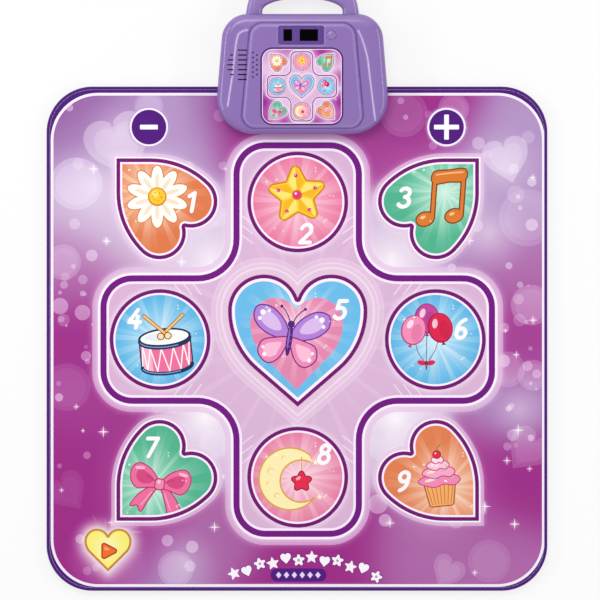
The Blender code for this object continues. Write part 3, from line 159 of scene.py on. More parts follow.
def stroke(path, width, cap=7):
    # a band of even width along an open path, with a half circle at each end
    p = np.asarray(path, float)
    way = np.gradient(p, axis=0)
    way /= np.linalg.norm(way, axis=1)[:, None]
    side = np.stack([-way[:, 1], way[:, 0]], 1) * width / 2
    turn = np.linspace(0, np.pi, cap + 2)[1:-1, None]
    head = p[-1] - side[-1] * np.cos(turn) + way[-1] * np.sin(turn) * width / 2
    tail = p[0] + side[0] * np.cos(turn) - way[0] * np.sin(turn) * width / 2
    return np.concatenate([p - side, head, (p + side)[::-1], tail])


def bend(x, y, wide, high, first, last, count=14):
    # an open arc of an oval, angles in degrees
    a = np.radians(np.linspace(first, last, count))
    return np.stack([x + wide * np.cos(a), y + high * np.sin(a)], 1)


def swelled(loop, grow):
    # every point moves out along the mean of its two sides' outward directions
    way = np.roll(loop, -1, 0) - np.roll(loop, 1, 0)
    way /= np.linalg.norm(way, axis=1)[:, None]
    return loop + np.stack([way[:, 1], -way[:, 0]], 1) * grow


def anticlockwise(loop):
    x, y = np.asarray(loop, float).T
    return np.asarray(loop, float)[:: 1 if (x * np.roll(y, -1) - y * np.roll(x, -1)).sum() > 0 else -1]


def depth(points, loop):
    # least distance to any side of the loop, counted positive inside by the number of sides crossed
    a, b = loop, np.roll(loop, -1, 0)
    found = []
    for part in np.array_split(points, max(1, len(points) // 4000)):
        p = part[:, None]
        along = np.clip(((p - a) * (b - a)).sum(2) / ((b - a) ** 2).sum(1).clip(1e-12), 0, 1)
        gap = np.linalg.norm(p - a - along[..., None] * (b - a), axis=2).min(1)
        level = (a[:, 1] > p[..., 1]) != (b[:, 1] > p[..., 1])
        rise = np.where(level, b[:, 1] - a[:, 1], 1)
        left = p[..., 0] < a[:, 0] + (p[..., 1] - a[:, 1]) * (b[:, 0] - a[:, 0]) / rise
        found.append(np.where((level & left).sum(1) % 2 == 1, gap, -gap))
    return np.concatenate(found)


def smooth(value):
    # 0 below 0, 1 above 1, and 3 v squared less 2 v cubed between
    v = np.clip(value, 0, 1)
    return v * v * (3 - 2 * v)


# Prints: a list of layers, each an outline with an ink and how much of it covers what is below

def ink(text):
    return np.array([int(text[i:i + 2], 16) for i in (0, 2, 4)]) / 255


def paint(layers, loop, colour, cover=1.0, within=None):
    layers.append({"loop": anticlockwise(loop), "ink": ink(colour) if isinstance(colour, str) else colour,
                   "cover": cover, "within": within})
    return len(layers) - 1


def repeated(layers, size, x, y, within, start):
    # the same layers again, smaller and about another middle, inside the layer numbered within
    def back(value):
        return (lambda px, py: value((px - x) / size, (py - y) / size)) if callable(value) else value

    return [{"loop": layer["loop"] * size + [x, y], "ink": back(layer["ink"]), "cover": back(layer["cover"]),
             "within": within if layer["within"] is None else layer["within"] + start} for layer in layers]


def fade(x, y, reach, top, power=1.5):
    # a cover that falls from top at the centre to nothing at reach
    return lambda px, py: top * np.clip(1 - np.hypot(px - x, py - y) / reach, 0, 1) ** power


def halo(loop, reach, top):
    # a cover that is top inside a loop and falls to nothing at reach outside it
    return lambda px, py: top * np.clip(1 + depth(np.stack([px, py], 1), loop) / reach, 0, 1) ** 2


def printedMap(edge, holes=(), layers=(), base="000000", cell=None):
    # one flat triangulation of every outline and a fine lattice; each corner's ink is the base
    # with every layer that holds its triangle laid over it in turn
    loops = [anticlockwise(loop) for loop in (edge, *holes, *(layer["loop"] for layer in layers))]
    points = np.concatenate(loops)
    if cell:
        low, high = edge.min(0), edge.max(0)
        gx, gy = np.meshgrid(np.arange(low[0], high[0], cell), np.arange(low[1], high[1], cell * 0.866))
        gx = gx + np.where(np.arange(len(gy))[:, None] % 2 == 1, cell / 2, 0)
        lattice = np.stack([gx.ravel(), gy.ravel()], 1)
        points = np.concatenate([points, lattice[depth(lattice, loops[0]) > cell * 0.35]])
    ends = np.cumsum([len(loop) for loop in loops])
    faces = [list(range(end - len(loop), end)) for end, loop in zip(ends, loops)]
    out = delaunay_2d_cdt([tuple(p) for p in points.tolist()], [], faces, 0, 1e-4, True)
    flat = np.array([tuple(v) for v in out[0]])
    triangles = np.array(out[2])
    counts = np.fromiter(map(len, out[5]), int, len(out[5]))
    member = np.zeros((len(loops), len(triangles)), bool)
    owners = np.fromiter(itertools.chain.from_iterable(out[5]), int)
    member[owners, np.repeat(np.arange(len(triangles)), counts)] = True
    first = 1 + len(holes)
    keep = member[0] & ~member[1:first].any(0)
    triangles, member = triangles[keep], member[first:, keep]
    corners = flat[triangles]
    x, y = corners[..., 0], corners[..., 1]
    if callable(base):
        inks = base(x.ravel(), y.ravel()).reshape(*x.shape, 3)
    else:
        inks = np.broadcast_to(ink(base), (*x.shape, 3)).copy()
    for index, layer in enumerate(layers):
        held = member[index] if layer["within"] is None else member[index] & member[layer["within"]]
        if not held.any():
            continue
        px, py = x[held].ravel(), y[held].ravel()
        colour = layer["ink"](px, py) if callable(layer["ink"]) else layer["ink"]
        cover = layer["cover"](px, py) if callable(layer["cover"]) else np.full(len(px), layer["cover"])
        under = inks[held].reshape(-1, 3)
        inks[held] = (under + (colour - under) * cover[:, None]).reshape(-1, 3, 3)
    return {"points": np.column_stack([flat, np.zeros(len(flat))]), "faces": triangles, "inks": inks}


# Surfaces: points in millimetres, triangles or quads, and an ink for each corner

def atHeight(part, height):
    # a flat map lifted to a height, or to a height that is a function of x and y
    points = part["points"].copy()
    points[:, 2] = height(points[:, 0], points[:, 1]) if callable(height) else height
    return {**part, "points": points}


def turnedOver(part):
    return {**part, "faces": part["faces"][:, ::-1], "inks": part["inks"][:, ::-1]}


def flatFace(edge, height, holes=(), colour="000000", down=False, cell=None):
    # a plain face with holes, seen from above or from below
    part = atHeight(printedMap(edge, holes, (), colour, cell), height)
    return turnedOver(part) if down else part


def skin(outline, profile, colour=None):
    # ring i is the outline grown by the profile's first number, at its second, a height or a function
    # of x and y; neighbours are joined
    rings = []
    for grow, level in profile:
        loop = outline(grow)
        z = level(*loop.T) if callable(level) else np.full(len(loop), float(level))
        rings.append(np.column_stack([loop, z]))
    count = len(rings[0])
    a = (np.arange(len(rings) - 1)[:, None] * count + np.arange(count)).ravel()
    b = (np.arange(len(rings) - 1)[:, None] * count + (np.arange(count) + 1) % count).ravel()
    faces = np.stack([a, b, b + count, a + count], 1)
    return {"points": np.concatenate(rings), "faces": faces, "inks": colour}


def upright(loop, low, high, colour=None):
    # a wall that faces into a hole
    return skin(lambda grow: loop, [(0, high), (0, low)], colour)


def slab(edge, holes, low, high, layers=(), base="000000", cell=None, relief=None, side=None):
    # a printed top, a plain underside and upright walls round the edge and every hole
    side = base if side is None else side

    def top(x, y):
        return high + (relief(x, y) if relief else np.zeros(len(x)))

    parts = [atHeight(printedMap(edge, holes, layers, base, cell), top),
             flatFace(edge, low, holes, side, True), upright(anticlockwise(edge), top, low, side)]
    return parts + [upright(anticlockwise(loop), low, top, side) for loop in holes]


def spun(profile, x, y, count=48, colour=None):
    # the profile's radius at equal steps round an upright axis, at its height
    return skin(lambda r: circle(x, y, max(r, 0.001), count), profile, colour)


def toLinear(colour):
    return np.where(colour <= 0.04045, colour / 12.92, ((colour + 0.055) / 1.055) ** 2.4)


def closed(points, faces, inks, touch=0.006, rise=1.2, rounds=90):
    # where a point of one part lies on an open edge of another, the triangle there is split at that point;
    # round by round at the point nearest to the middle of the edge, until every open edge has its partner;
    # first by true distance, and then by distance in plan, for an upright wall that meets a curved face
    seams, upWeight, never = np.zeros(0, np.int64), 1.0, 9.0
    for _ in range(rounds):
        ends = np.sort(faces[:, [[0, 1], [1, 2], [2, 0]]], 2).reshape(-1, 2)
        code = ends[:, 0] * len(points) + ends[:, 1]
        _, which, times = np.unique(code, return_inverse=True, return_counts=True)
        lone = np.flatnonzero(times[which.reshape(-1)] == 1)
        if not len(lone):
            break
        seams = np.union1d(seams, code[lone])
        face, first = lone // 3, lone % 3
        after = (first + 1) % 3
        rim = np.unique(faces[face, first])
        measured = points * [1, 1, upWeight]
        start = measured[faces[face, first]]
        way = measured[faces[face, after]] - start
        reach = np.maximum(np.linalg.norm(way, axis=1), 1e-6)
        offset = measured[rim] - start[:, None]
        share = (offset * way[:, None]).sum(2) / reach[:, None] ** 2
        aside = np.linalg.norm(offset - share[..., None] * way[:, None], axis=2)
        inside = (share * reach[:, None] > touch) & ((1 - share) * reach[:, None] > touch)
        rank = np.where((aside < touch) & inside, abs(share - 0.5), never)
        rows = np.flatnonzero(rank.min(1) < never)
        rows = rows[np.unique(face[rows], return_index=True)[1]]
        if not len(rows) and upWeight < 1:
            break
        if not len(rows):
            upWeight = touch / rise
            continue
        best = rank[rows].argmin(1)
        face, first, after = face[rows], first[rows], after[rows]
        part = share[rows, best][:, None]
        between = inks[face, first] * (1 - part) + inks[face, after] * part
        twin, twinInks = faces[face], inks[face]
        order = np.arange(len(rows))
        twin[order, first] = rim[best]
        twinInks[order, first] = between
        faces[face, after] = rim[best]
        inks[face, after] = between
        faces, inks = np.concatenate([faces, twin]), np.concatenate([inks, twinInks])
    return faces, inks, seams


def joined(parts, weld=0.004):
    # all parts as triangles on shared points, with an ink for each corner and the seams between parts closed
    points, faces, inks, start = [], [], [], 0
    for part in parts:
        shape, colour = part["faces"], part["inks"]
        if shape.shape[1] == 4:
            shape = np.concatenate([shape[:, [0, 1, 2]], shape[:, [0, 2, 3]]])
        if callable(colour):
            colour = colour(*part["points"][shape].transpose(2, 0, 1))
        elif colour is None or isinstance(colour, str):
            colour = np.broadcast_to(ink(colour or "808080"), (len(shape), 3, 3))
        points.append(part["points"])
        faces.append(shape + start)
        inks.append(colour)
        start += len(part["points"])
    points, faces, inks = np.concatenate(points), np.concatenate(faces), np.concatenate(inks)
    cells = np.round(points / weld).astype(np.int64)
    _, keep, shared = np.unique(cells, axis=0, return_index=True, return_inverse=True)
    faces = shared.reshape(-1)[faces]
    full = (faces[:, 0] != faces[:, 1]) & (faces[:, 1] != faces[:, 2]) & (faces[:, 0] != faces[:, 2])
    used, faces = np.unique(faces[full], return_inverse=True)
    points = points[keep][used]
    return points, *closed(points, faces.reshape(-1, 3), inks[full])


def newObject(name, data):
    thing = bpy.data.objects.new(name, data)
    bpy.context.scene.collection.objects.link(thing)
    return thing


def build(name, parts, look, replaces=(), body="mat_and_box", sharp=32.0):
    # a piece of shared points in metres, with the ink as a face-corner colour and closed seams kept crisp
    points, faces, inks, seams = joined(parts)
    mesh = bpy.data.meshes.new(name)
    mesh.vertices.add(len(points))
    mesh.vertices.foreach_set("co", (points * mm).astype(np.float32).ravel())
    mesh.loops.add(faces.size)
    mesh.loops.foreach_set("vertex_index", faces.astype(np.int32).ravel())
    mesh.polygons.add(len(faces))
    mesh.polygons.foreach_set("loop_start", np.arange(0, faces.size, 3, dtype=np.int32))
    mesh.polygons.foreach_set("use_smooth", np.ones(len(faces), bool))
    mesh.update(calc_edges=True)
    colours = mesh.color_attributes.new("ink", "FLOAT_COLOR", "CORNER")
    flat = np.column_stack([toLinear(np.clip(inks.reshape(-1, 3), 0, 1)), np.ones(faces.size)])
    colours.data.foreach_set("color", flat.astype(np.float32).ravel())
    mesh.validate()
    mesh.set_sharp_from_angle(angle=math.radians(sharp))
    ends = np.zeros(len(mesh.edges) * 2, np.int32)
    mesh.edges.foreach_get("vertices", ends)
    ends = np.sort(ends.reshape(-1, 2).astype(np.int64), 1)
    crisp = np.zeros(len(ends), bool)
    mesh.edges.foreach_get("use_edge_sharp", crisp)
    crisp |= np.isin(ends[:, 0] * len(points) + ends[:, 1], seams)
    mesh.edges.foreach_set("use_edge_sharp", crisp)
    mesh.materials.append(made[look])
    piece = newObject(name, mesh)
    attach(piece, body)
    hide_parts(*replaces)
    return piece


def dressed(name, node, look, weld=0.00001, sharp=30.0):
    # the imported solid's own shape on shared points, shaded smooth round its curves
    mesh = nodes[node].data.copy()
    mesh.name = name
    mesh.materials.clear()
    mesh.materials.append(made[look])
    piece = newObject(name, mesh)
    piece.modifiers.new("merge", "WELD").merge_threshold = weld
    graph = bpy.context.evaluated_depsgraph_get()
    piece.data = bpy.data.meshes.new_from_object(piece.evaluated_get(graph))
    piece.modifiers.clear()
    piece.data.polygons.foreach_set("use_smooth", np.ones(len(piece.data.polygons), bool))
    piece.data.set_sharp_from_angle(angle=math.radians(sharp))
    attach(piece, "mat_and_box")
    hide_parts(node)
    return piece


# Materials: each varies its colour, gloss and relief with the piece's own coordinates

def added(tree, kind, **values):
    # a new shader node; each value goes to its input of that name, or else to its setting
    node = tree.nodes.new(kind)
    for key, value in values.items():
        if key in node.inputs:
            node.inputs[key].default_value = value
        else:
            setattr(node, key, value)
    return node


def finish(name, look):
    material = bpy.data.materials.new(name)
    material.use_nodes = True
    tree = material.node_tree
    shader = tree.nodes["Principled BSDF"]
    place = added(tree, "ShaderNodeTexCoord")

    def grain(size, detail=3.0):
        noise = added(tree, "ShaderNodeTexNoise", Scale=1.0 / (size * mm), Detail=detail, Roughness=0.55)
        tree.links.new(place.outputs["Object"], noise.inputs["Vector"])
        return noise.outputs["Fac"]

    def span(source, low, high, first=0.3, last=0.7, kind="LINEAR"):
        ends = {"From Min": first, "From Max": last, "To Min": low, "To Max": high}
        mapped = added(tree, "ShaderNodeMapRange", interpolation_type=kind, **ends)
        tree.links.new(source, mapped.inputs["Value"])
        return mapped.outputs["Result"]

    def bump(source, deep, below):
        relief = added(tree, "ShaderNodeBump", Strength=1.0, Distance=deep * mm)
        tree.links.new(source, relief.inputs["Height"])
        if below:
            tree.links.new(below.outputs["Normal"], relief.inputs["Normal"])
        return relief

    shade = added(tree, "ShaderNodeHueSaturation")
    if "colour" in look:
        shade.inputs["Color"].default_value = (*toLinear(ink(look["colour"])), 1)
    else:
        printed = added(tree, "ShaderNodeVertexColor", layer_name="ink")
        tree.links.new(printed.outputs["Color"], shade.inputs["Color"])
    mottle = span(grain(look.get("mottleSize", 30)), *look.get("mottle", (0.96, 1.04)))
    tree.links.new(mottle, shade.inputs["Value"])
    tree.links.new(shade.outputs["Color"], shader.inputs["Base Color"])
    tree.links.new(span(grain(9, 4.0), *look["rough"]), shader.inputs["Roughness"])
    relief = None
    for size, deep in look["relief"]:
        relief = bump(grain(size, 2.0), deep, relief)
    if "dots" in look:
        pitch, deep = look["dots"]
        cells = added(tree, "ShaderNodeTexVoronoi", Scale=1.0 / (pitch * mm), Randomness=0.0,
                      voronoi_dimensions="2D")
        tree.links.new(place.outputs["Object"], cells.inputs["Vector"])
        relief = bump(span(cells.outputs["Distance"], 1.0, 0.0, 0.28, 0.36, "SMOOTHSTEP"), deep, relief)
    tree.links.new(relief.outputs["Normal"], shader.inputs["Normal"])
    for key, value in look.items():
        if key in shader.inputs:
            shader.inputs[key].default_value = value
    return material


# Each look has its slot, its colour where no print gives one, its roughness, the mottling of its shade, its
# relief as sizes and depths in millimetres, and values for the shader's own inputs
gloss = {"slot": "purple_plastic", "rough": (0.20, 0.27), "mottleSize": 70, "relief": ((35, 0.05),),
         "Specular IOR Level": 0.45, "Coat Weight": 0.2, "Coat Roughness": 0.06}
finishes = {
    "printedVinyl": {"slot": "printed_vinyl", "rough": (0.38, 0.50), "mottle": (0.985, 1.015),
                     "mottleSize": 60, "relief": ((0.9, 0.015), (45, 0.35)), "Specular IOR Level": 0.16},
    "printedLabel": {"slot": "lit_label", "rough": (0.20, 0.28), "mottle": (0.99, 1.01),
                     "relief": ((40, 0.02),), "Specular IOR Level": 0.25},
    "glossPurple": {**gloss, "colour": "8d70b3", "mottle": (0.975, 1.025)},
    "tonedPurple": {**gloss, "mottle": (0.98, 1.02)},
    "deepPurple": {"slot": "deep_purple_plastic", "colour": "5a3a8c", "rough": (0.25, 0.33),
                   "relief": ((25, 0.03),), "Specular IOR Level": 0.35},
    "smokedBlack": {"slot": "smoked_plastic", "colour": "030304", "rough": (0.08, 0.14),
                    "relief": ((20, 0.01),), "Specular IOR Level": 0.02},
    "bindingTape": {"slot": "binding_tape", "colour": "4a1275", "rough": (0.45, 0.58), "mottle": (0.93, 1.07),
                    "mottleSize": 5, "relief": ((0.7, 0.05), (12, 0.2)), "Specular IOR Level": 0.2},
    "thread": {"slot": "binding_tape", "colour": "501a7c", "rough": (0.6, 0.75), "mottle": (0.9, 1.1),
               "mottleSize": 2, "relief": ((0.3, 0.04),), "Specular IOR Level": 0.15},
    "gripRubber": {"slot": "non_slip_rubber", "colour": "2b2a2e", "rough": (0.72, 0.88),
                   "mottle": (0.85, 1.12), "mottleSize": 14, "relief": ((0.8, 0.05),), "dots": (6.0, 0.5)},
    "clearFilm": {"slot": "clear_film", "colour": "cfd2cf", "rough": (0.18, 0.28), "relief": ((20, 0.2),)},
    "carbonInk": {"slot": "carbon_ink", "colour": "1b1b1d", "rough": (0.55, 0.70), "mottle": (0.8, 1.15),
                  "relief": ((0.6, 0.02),)},
    "openFoam": {"slot": "white_foam", "colour": "e9e7df", "rough": (0.82, 0.95), "mottle": (0.92, 1.03),
                 "mottleSize": 2, "relief": ((1.1, 0.25),)},
    "whitePlastic": {"slot": "white_plastic", "colour": "dedddc", "rough": (0.35, 0.45),
                     "relief": ((1.4, 0.01),)},
    "blackPlastic": {"slot": "black_plastic", "colour": "1c1b1d", "rough": (0.38, 0.50),
                     "mottle": (0.85, 1.15), "relief": ((0.7, 0.02),)},
    "boardGreen": {"slot": "circuit_board", "colour": "1f6b3c", "rough": (0.25, 0.40), "mottle": (0.82, 1.1),
                   "mottleSize": 3, "relief": ((1.5, 0.02),)},
    "conePaper": {"slot": "cone_paper", "colour": "2b2440", "rough": (0.75, 0.9), "mottle": (0.8, 1.2),
                  "mottleSize": 2, "relief": ((0.5, 0.05),)},
    "platedSteel": {"slot": "screw_steel", "colour": "b9b9bd", "rough": (0.22, 0.36), "mottle": (0.9, 1.05),
                    "mottleSize": 2, "relief": ((0.6, 0.006),), "Metallic": 1.0},
    # the speaker's steel behind the grille, darkened as painted shade seen through the slots
    "shadedSteel": {"slot": "speaker_steel", "colour": "332a4c", "rough": (0.40, 0.55), "mottle": (0.85, 1.1),
                  "mottleSize": 4, "relief": ((0.8, 0.01),), "Metallic": 0.4},
    "nickel": {"slot": "nickel_steel", "colour": "c9c5bb", "rough": (0.15, 0.26), "relief": ((1.0, 0.004),),
               "Metallic": 1.0},
    "cellJacket": {"slot": "cell_jacket", "colour": "3b4a86", "rough": (0.22, 0.32), "mottle": (0.9, 1.08),
                   "relief": ((1.8, 0.01),), "Coat Weight": 0.3},
}
made = {name: finish(name, look) for name, look in finishes.items()}
print("finishes made:", len(made))


# Measures shared by the mat's pieces, in millimetres
mat = {
    "edge": (-421.95, -422.0, 419.35, 425.0), "cornerRadius": 77.0, "bindingWidth": 5.0, "seat": 0.3,
    "coverLow": 10.9, "coverTop": 11.6, "plugTop": 12.2, "flangeTop": 10.6, "flangeLow": 8.8,
    "flangeWidth": 4.0, "sideGap": 0.5, "lattice": 5.0,
}
hearts = {
    "corner": {"tipAngle": 45, "lobeHeight": 139.2, "lobeOffset": 37.5, "lobeRadius": 43.9},
    "centre": {"tipAngle": 49, "lobeHeight": 161.0, "lobeOffset": 56.6, "lobeRadius": 60.0},
    "start": {"tipAngle": 45, "lobeHeight": 50.1, "lobeOffset": 18.5, "lobeRadius": 20.5},
    "inner": {"tipAngle": 44, "lobeHeight": 112, "lobeOffset": 36, "lobeRadius": 42},
    "small": {"tipAngle": 44, "lobeHeight": 1.32, "lobeOffset": 0.42, "lobeRadius": 0.50},
}


def matOutline(inset, steps=14):
    return box(*mat["edge"], mat["cornerRadius"], -inset, steps)


def heartAt(kind, tip, heading):
    return lambda grow: heart(hearts[kind], tip, heading, grow)


def circleAt(x, y, radius, count):
    return lambda grow: circle(x, y, radius + grow, count)


# Every pad: its outline by how far it is grown, and the middle of its artwork.
# Nine stand in a square: hearts that point inward in the corners, discs between them, a heart in the middle
grid = {"cornerTip": 304.1, "cornerMiddle": 247.5, "round": 231.2, "roundRadius": 84.3,
        "centreTip": (0, -112.1), "centreMiddle": (0, 20), "sign": (250, 357), "signRadius": 32.4,
        "startTip": (-318.7, -388.8), "startMiddle": (-318.7, -355)}


def gridPad(column, row):
    if column and row:
        tip, middle = (np.array([column, row]) * grid[key] for key in ("cornerTip", "cornerMiddle"))
        return heartAt("corner", tip, math.degrees(math.atan2(-row, -column))), tuple(middle)
    if column or row:
        x, y = column * grid["round"], row * grid["round"]
        return circleAt(x, y, grid["roundRadius"], 96), (x, y)
    return heartAt("centre", grid["centreTip"], 90), grid["centreMiddle"]


def signPad(side):
    x, y = grid["sign"]
    return circleAt(side * x, y, grid["signRadius"], 56), (side * x, y)


pads = {f"pad_{index + 1}": gridPad(index % 3 - 1, 1 - index // 3) for index in range(9)}
pads |= {"minus_pad": signPad(-1), "plus_pad": signPad(1),
         "start_pad": (heartAt("start", grid["startTip"], 90), grid["startMiddle"])}
cornerPads = ("pad_1", "pad_3", "pad_7", "pad_9")
roundPads = ("pad_2", "pad_4", "pad_6", "pad_8")


# The print's tinted ground and what floats on it
tints = {"violet": "8e549a", "lilac": "b292c3", "mist": "d3bcdb", "orchid": "ae68a8", "berry": "a54094",
         "magenta": "9c2a86", "pearl": "fbf0fa", "glow": "fff8fd"}
ground = {
    # x, y, reach, tint
    "washes": ((-395, 395, 90, "violet"), (-330, 320, 90, "lilac"), (-330, 220, 100, "mist"),
               (-390, 105, 80, "orchid"), (-200, 375, 80, "lilac"), (-85, 385, 70, "magenta"),
               (-385, -5, 90, "magenta"), (-375, -105, 70, "berry"), (-390, -240, 130, "magenta"),
               (-250, -330, 70, "berry"), (-205, -385, 60, "lilac"), (-125, -345, 60, "orchid"),
               (20, -400, 110, "magenta"), (215, -385, 80, "orchid"), (350, -365, 80, "orchid"),
               (385, -235, 90, "magenta"), (375, -120, 60, "lilac"), (380, 5, 80, "berry"),
               (385, 120, 80, "orchid"), (340, 200, 80, "lilac"), (360, 310, 90, "lilac"),
               (215, 395, 80, "magenta"), (160, 330, 60, "berry"), (150, 160, 70, "mist"),
               (-150, 150, 70, "mist"), (-150, -150, 70, "mist"), (150, -150, 70, "mist")),
    # x, y, radius, cover, tint
    "blushes": ((-385, -190, 90, 0.50, "magenta"), (-395, 10, 70, 0.45, "magenta"),
                (385, 20, 50, 0.30, "magenta"), (185, 385, 70, 0.50, "magenta"),
                (-90, 385, 60, 0.35, "magenta"), (395, -250, 80, 0.45, "magenta"),
                (-385, -320, 70, 0.40, "magenta")),
    "glows": ((-232, 232, 130, 0.42, "pearl"), (232, 232, 130, 0.38, "pearl"),
              (-232, -232, 130, 0.30, "pearl"), (232, -232, 130, 0.34, "pearl"),
              (-155, -130, 96, 0.95, "glow"), (165, -132, 98, 0.98, "glow"), (158, 128, 94, 0.88, "glow"),
              (-148, 134, 96, 0.74, "glow"), (-320, -360, 76, 0.66, "pearl"), (-338, 256, 90, 0.46, "pearl"),
              (345, 290, 80, 0.42, "pearl"), (322, 178, 76, 0.50, "pearl"), (-190, -372, 66, 0.32, "pearl"),
              (-300, 345, 64, 0.34, "pearl"), (372, -118, 60, 0.36, "pearl")),
    # discs and, at every third place, a heart: x, y, radius, cover
    "shapes": ((-372, 262, 44, 0.30), (-298, 322, 60, 0.34), (-394, 130, 30, 0.22), (386, 205, 48, 0.16),
               (352, 300, 42, 0.38), (392, 58, 34, 0.24), (352, -50, 30, 0.20), (-148, 205, 30, 0.26),
               (178, 380, 40, 0.14), (-388, -80, 40, 0.10), (384, -188, 40, 0.18), (322, -372, 36, 0.10),
               (-205, -385, 30, 0.22), (150, -188, 34, 0.24), (-140, -176, 26, 0.22), (262, 388, 26, 0.20),
               (-384, -258, 36, 0.08), (396, -60, 26, 0.20), (-250, 392, 24, 0.20), (250, -392, 30, 0.18)),
    "seed": 23, "bubbles": 95, "sparkles": 34,
}


def groundInk(px, py):
    # every wash weighted by a bell curve of its distance, and shared out so that the weights make one
    total, weights = 0.0, 1e-9
    for x, y, reach, colour in ground["washes"]:
        weight = np.exp(-((px - x) ** 2 + (py - y) ** 2) / (2 * (0.62 * reach) ** 2))[:, None] + 1e-7
        total, weights = total + weight * ink(tints[colour]), weights + weight
    return total / weights


cross = {"halfLength": 326.3, "armHalf": 102.8, "outerRadius": 48.7, "innerRadius": 65.5, "band": 10.4,
         "line": 4.2, "halo": 9.5, "rays": 26, "streakX": 178, "streakY": 76, "streakPitch": 16}
frameLine = {"half": 412.7, "centreY": -0.5, "radius": 77.0, "width": 4.6}


def crossOutline(grow, steps=12):
    h, a = cross["halfLength"], cross["armHalf"]
    corners = [(-a, -h), (a, -h), (a, -a), (h, -a), (h, a), (a, a), (a, h), (-a, h), (-a, a), (-h, a),
               (-h, -a), (-a, -a)]
    outer, inner = cross["outerRadius"], cross["innerRadius"]
    return rounded(corners, [outer, outer, inner] * 4, grow, steps)


def driftingShapes(layers, within):
    # soft discs, hearts and four-point sparkles, spread by a seeded draw round a few listed ones
    draw = np.random.default_rng(ground["seed"])
    for x, y, radius, cover, colour in ground["blushes"] + ground["glows"]:
        paint(layers, circle(x, y, radius, 40), tints[colour], fade(x, y, radius, cover), within)
    for index, (x, y, radius, cover) in enumerate(ground["shapes"]):
        if index % 3 == 1:
            turn = 90 + 50 * draw.uniform(-1, 1)
            loop, inner = (moved(heart(hearts["small"], (-0.9, 0), 0), x, y, radius * size, turn)
                           for size in (1, 0.72))
        else:
            loop, inner = circle(x, y, radius, 44), circle(x, y, radius * 0.8, 40)
        paint(layers, loop, "f7ecfb", cover, within)
        paint(layers, inner, "f7ecfb", cover * 0.5, within)
    for _ in range(ground["bubbles"]):
        x, y = draw.uniform(-405, 405, 2)
        if abs(x) < 112 or abs(y) < 112 and abs(x) < 340:
            x, y = math.copysign(draw.uniform(345, 402), x), y * 0.9
        radius = draw.uniform(1.6, 11) * (1.5 if draw.random() < 0.15 else 1)
        paint(layers, circle(x, y, radius, 18), "fbeffd", draw.uniform(0.16, 0.5), within)
    for _ in range(ground["sparkles"]):
        x, y = draw.uniform(-400, 400, 2)
        if abs(x) < 118:
            x = math.copysign(draw.uniform(345, 400), x)
        size = draw.uniform(4, 12)
        paint(layers, circle(x, y, size * 0.9, 20), "ffffff", fade(x, y, size * 0.9, 0.55), within)
        paint(layers, star(x, y, size, size * 0.12, 4), "ffffff", draw.uniform(0.75, 1.0), within)


def crossPrint(layers):
    # pale halo, white line, dark band, white line, lilac floor with faint echoes of the middle heart
    half, line = cross["band"] / 2, cross["line"]
    halfway = crossOutline(half + line)
    wide = 2.2 * cross["halo"]
    paint(layers, crossOutline(half + line + wide), "fdf0fd", halo(halfway, wide, 0.7))
    paint(layers, crossOutline(half + line + cross["halo"]), "e4bfe2", 0.6)
    paint(layers, halfway, "fdf2ff")
    paint(layers, crossOutline(half), "721280")
    paint(layers, crossOutline(-half), "fbeaff")
    lilac = paint(layers, crossOutline(-half - line), "dbb4d6")
    paint(layers, circle(0, 20, 210, 60), "eccde4", fade(0, 20, 210, 0.55), lilac)
    for index in range(cross["rays"]):
        turn = index * 360 / cross["rays"] + 4
        ray = moved([(95, -1.6), (240, -7.5), (240, 7.5), (95, 1.6)], 0, 10, 1, turn)
        paint(layers, ray, "f3d9ec", 0.20 if index % 2 else 0.12, lilac)
    for grow, wide, cover in ((27, 2.0, 0.35), (18.5, 2.4, 0.5), (10, 3.4, 0.6)):
        for size, colour in ((grow + wide, "f9e8f8"), (grow, "e0bad7")):
            paint(layers, pads["pad_5"][0](size), colour, cover, lilac)
    for name in roundPads:
        outline = pads[name][0]
        paint(layers, outline(11), "f7e6f7", halo(outline(1.5), 10, 0.7), lilac)
    # short slanting streaks beside each round pad, on the side of the middle
    streak = stroke([(0, 0), (7, 9), (14, 18)], 2.8)
    for turn, step, side in itertools.product((0, 90, 180, 270), (-1, 0, 1), (1, -1)):
        x = cross["streakX"] + cross["streakPitch"] * step
        place = moved(streak * [1, side], x, side * cross["streakY"])
        paint(layers, moved(anticlockwise(place), turn=turn), "fbeaf8", 0.55, lilac)


garland = {"from": -107, "to": 132, "middle": 12, "half": 120, "pieces": 12, "crest": -368, "sag": 28,
           "lean": 24, "plaque": (-45.5, -406.5, 48, -384.5, 10.5), "lozenges": (-32, 34, 6),
           "lozengeY": -395.5}


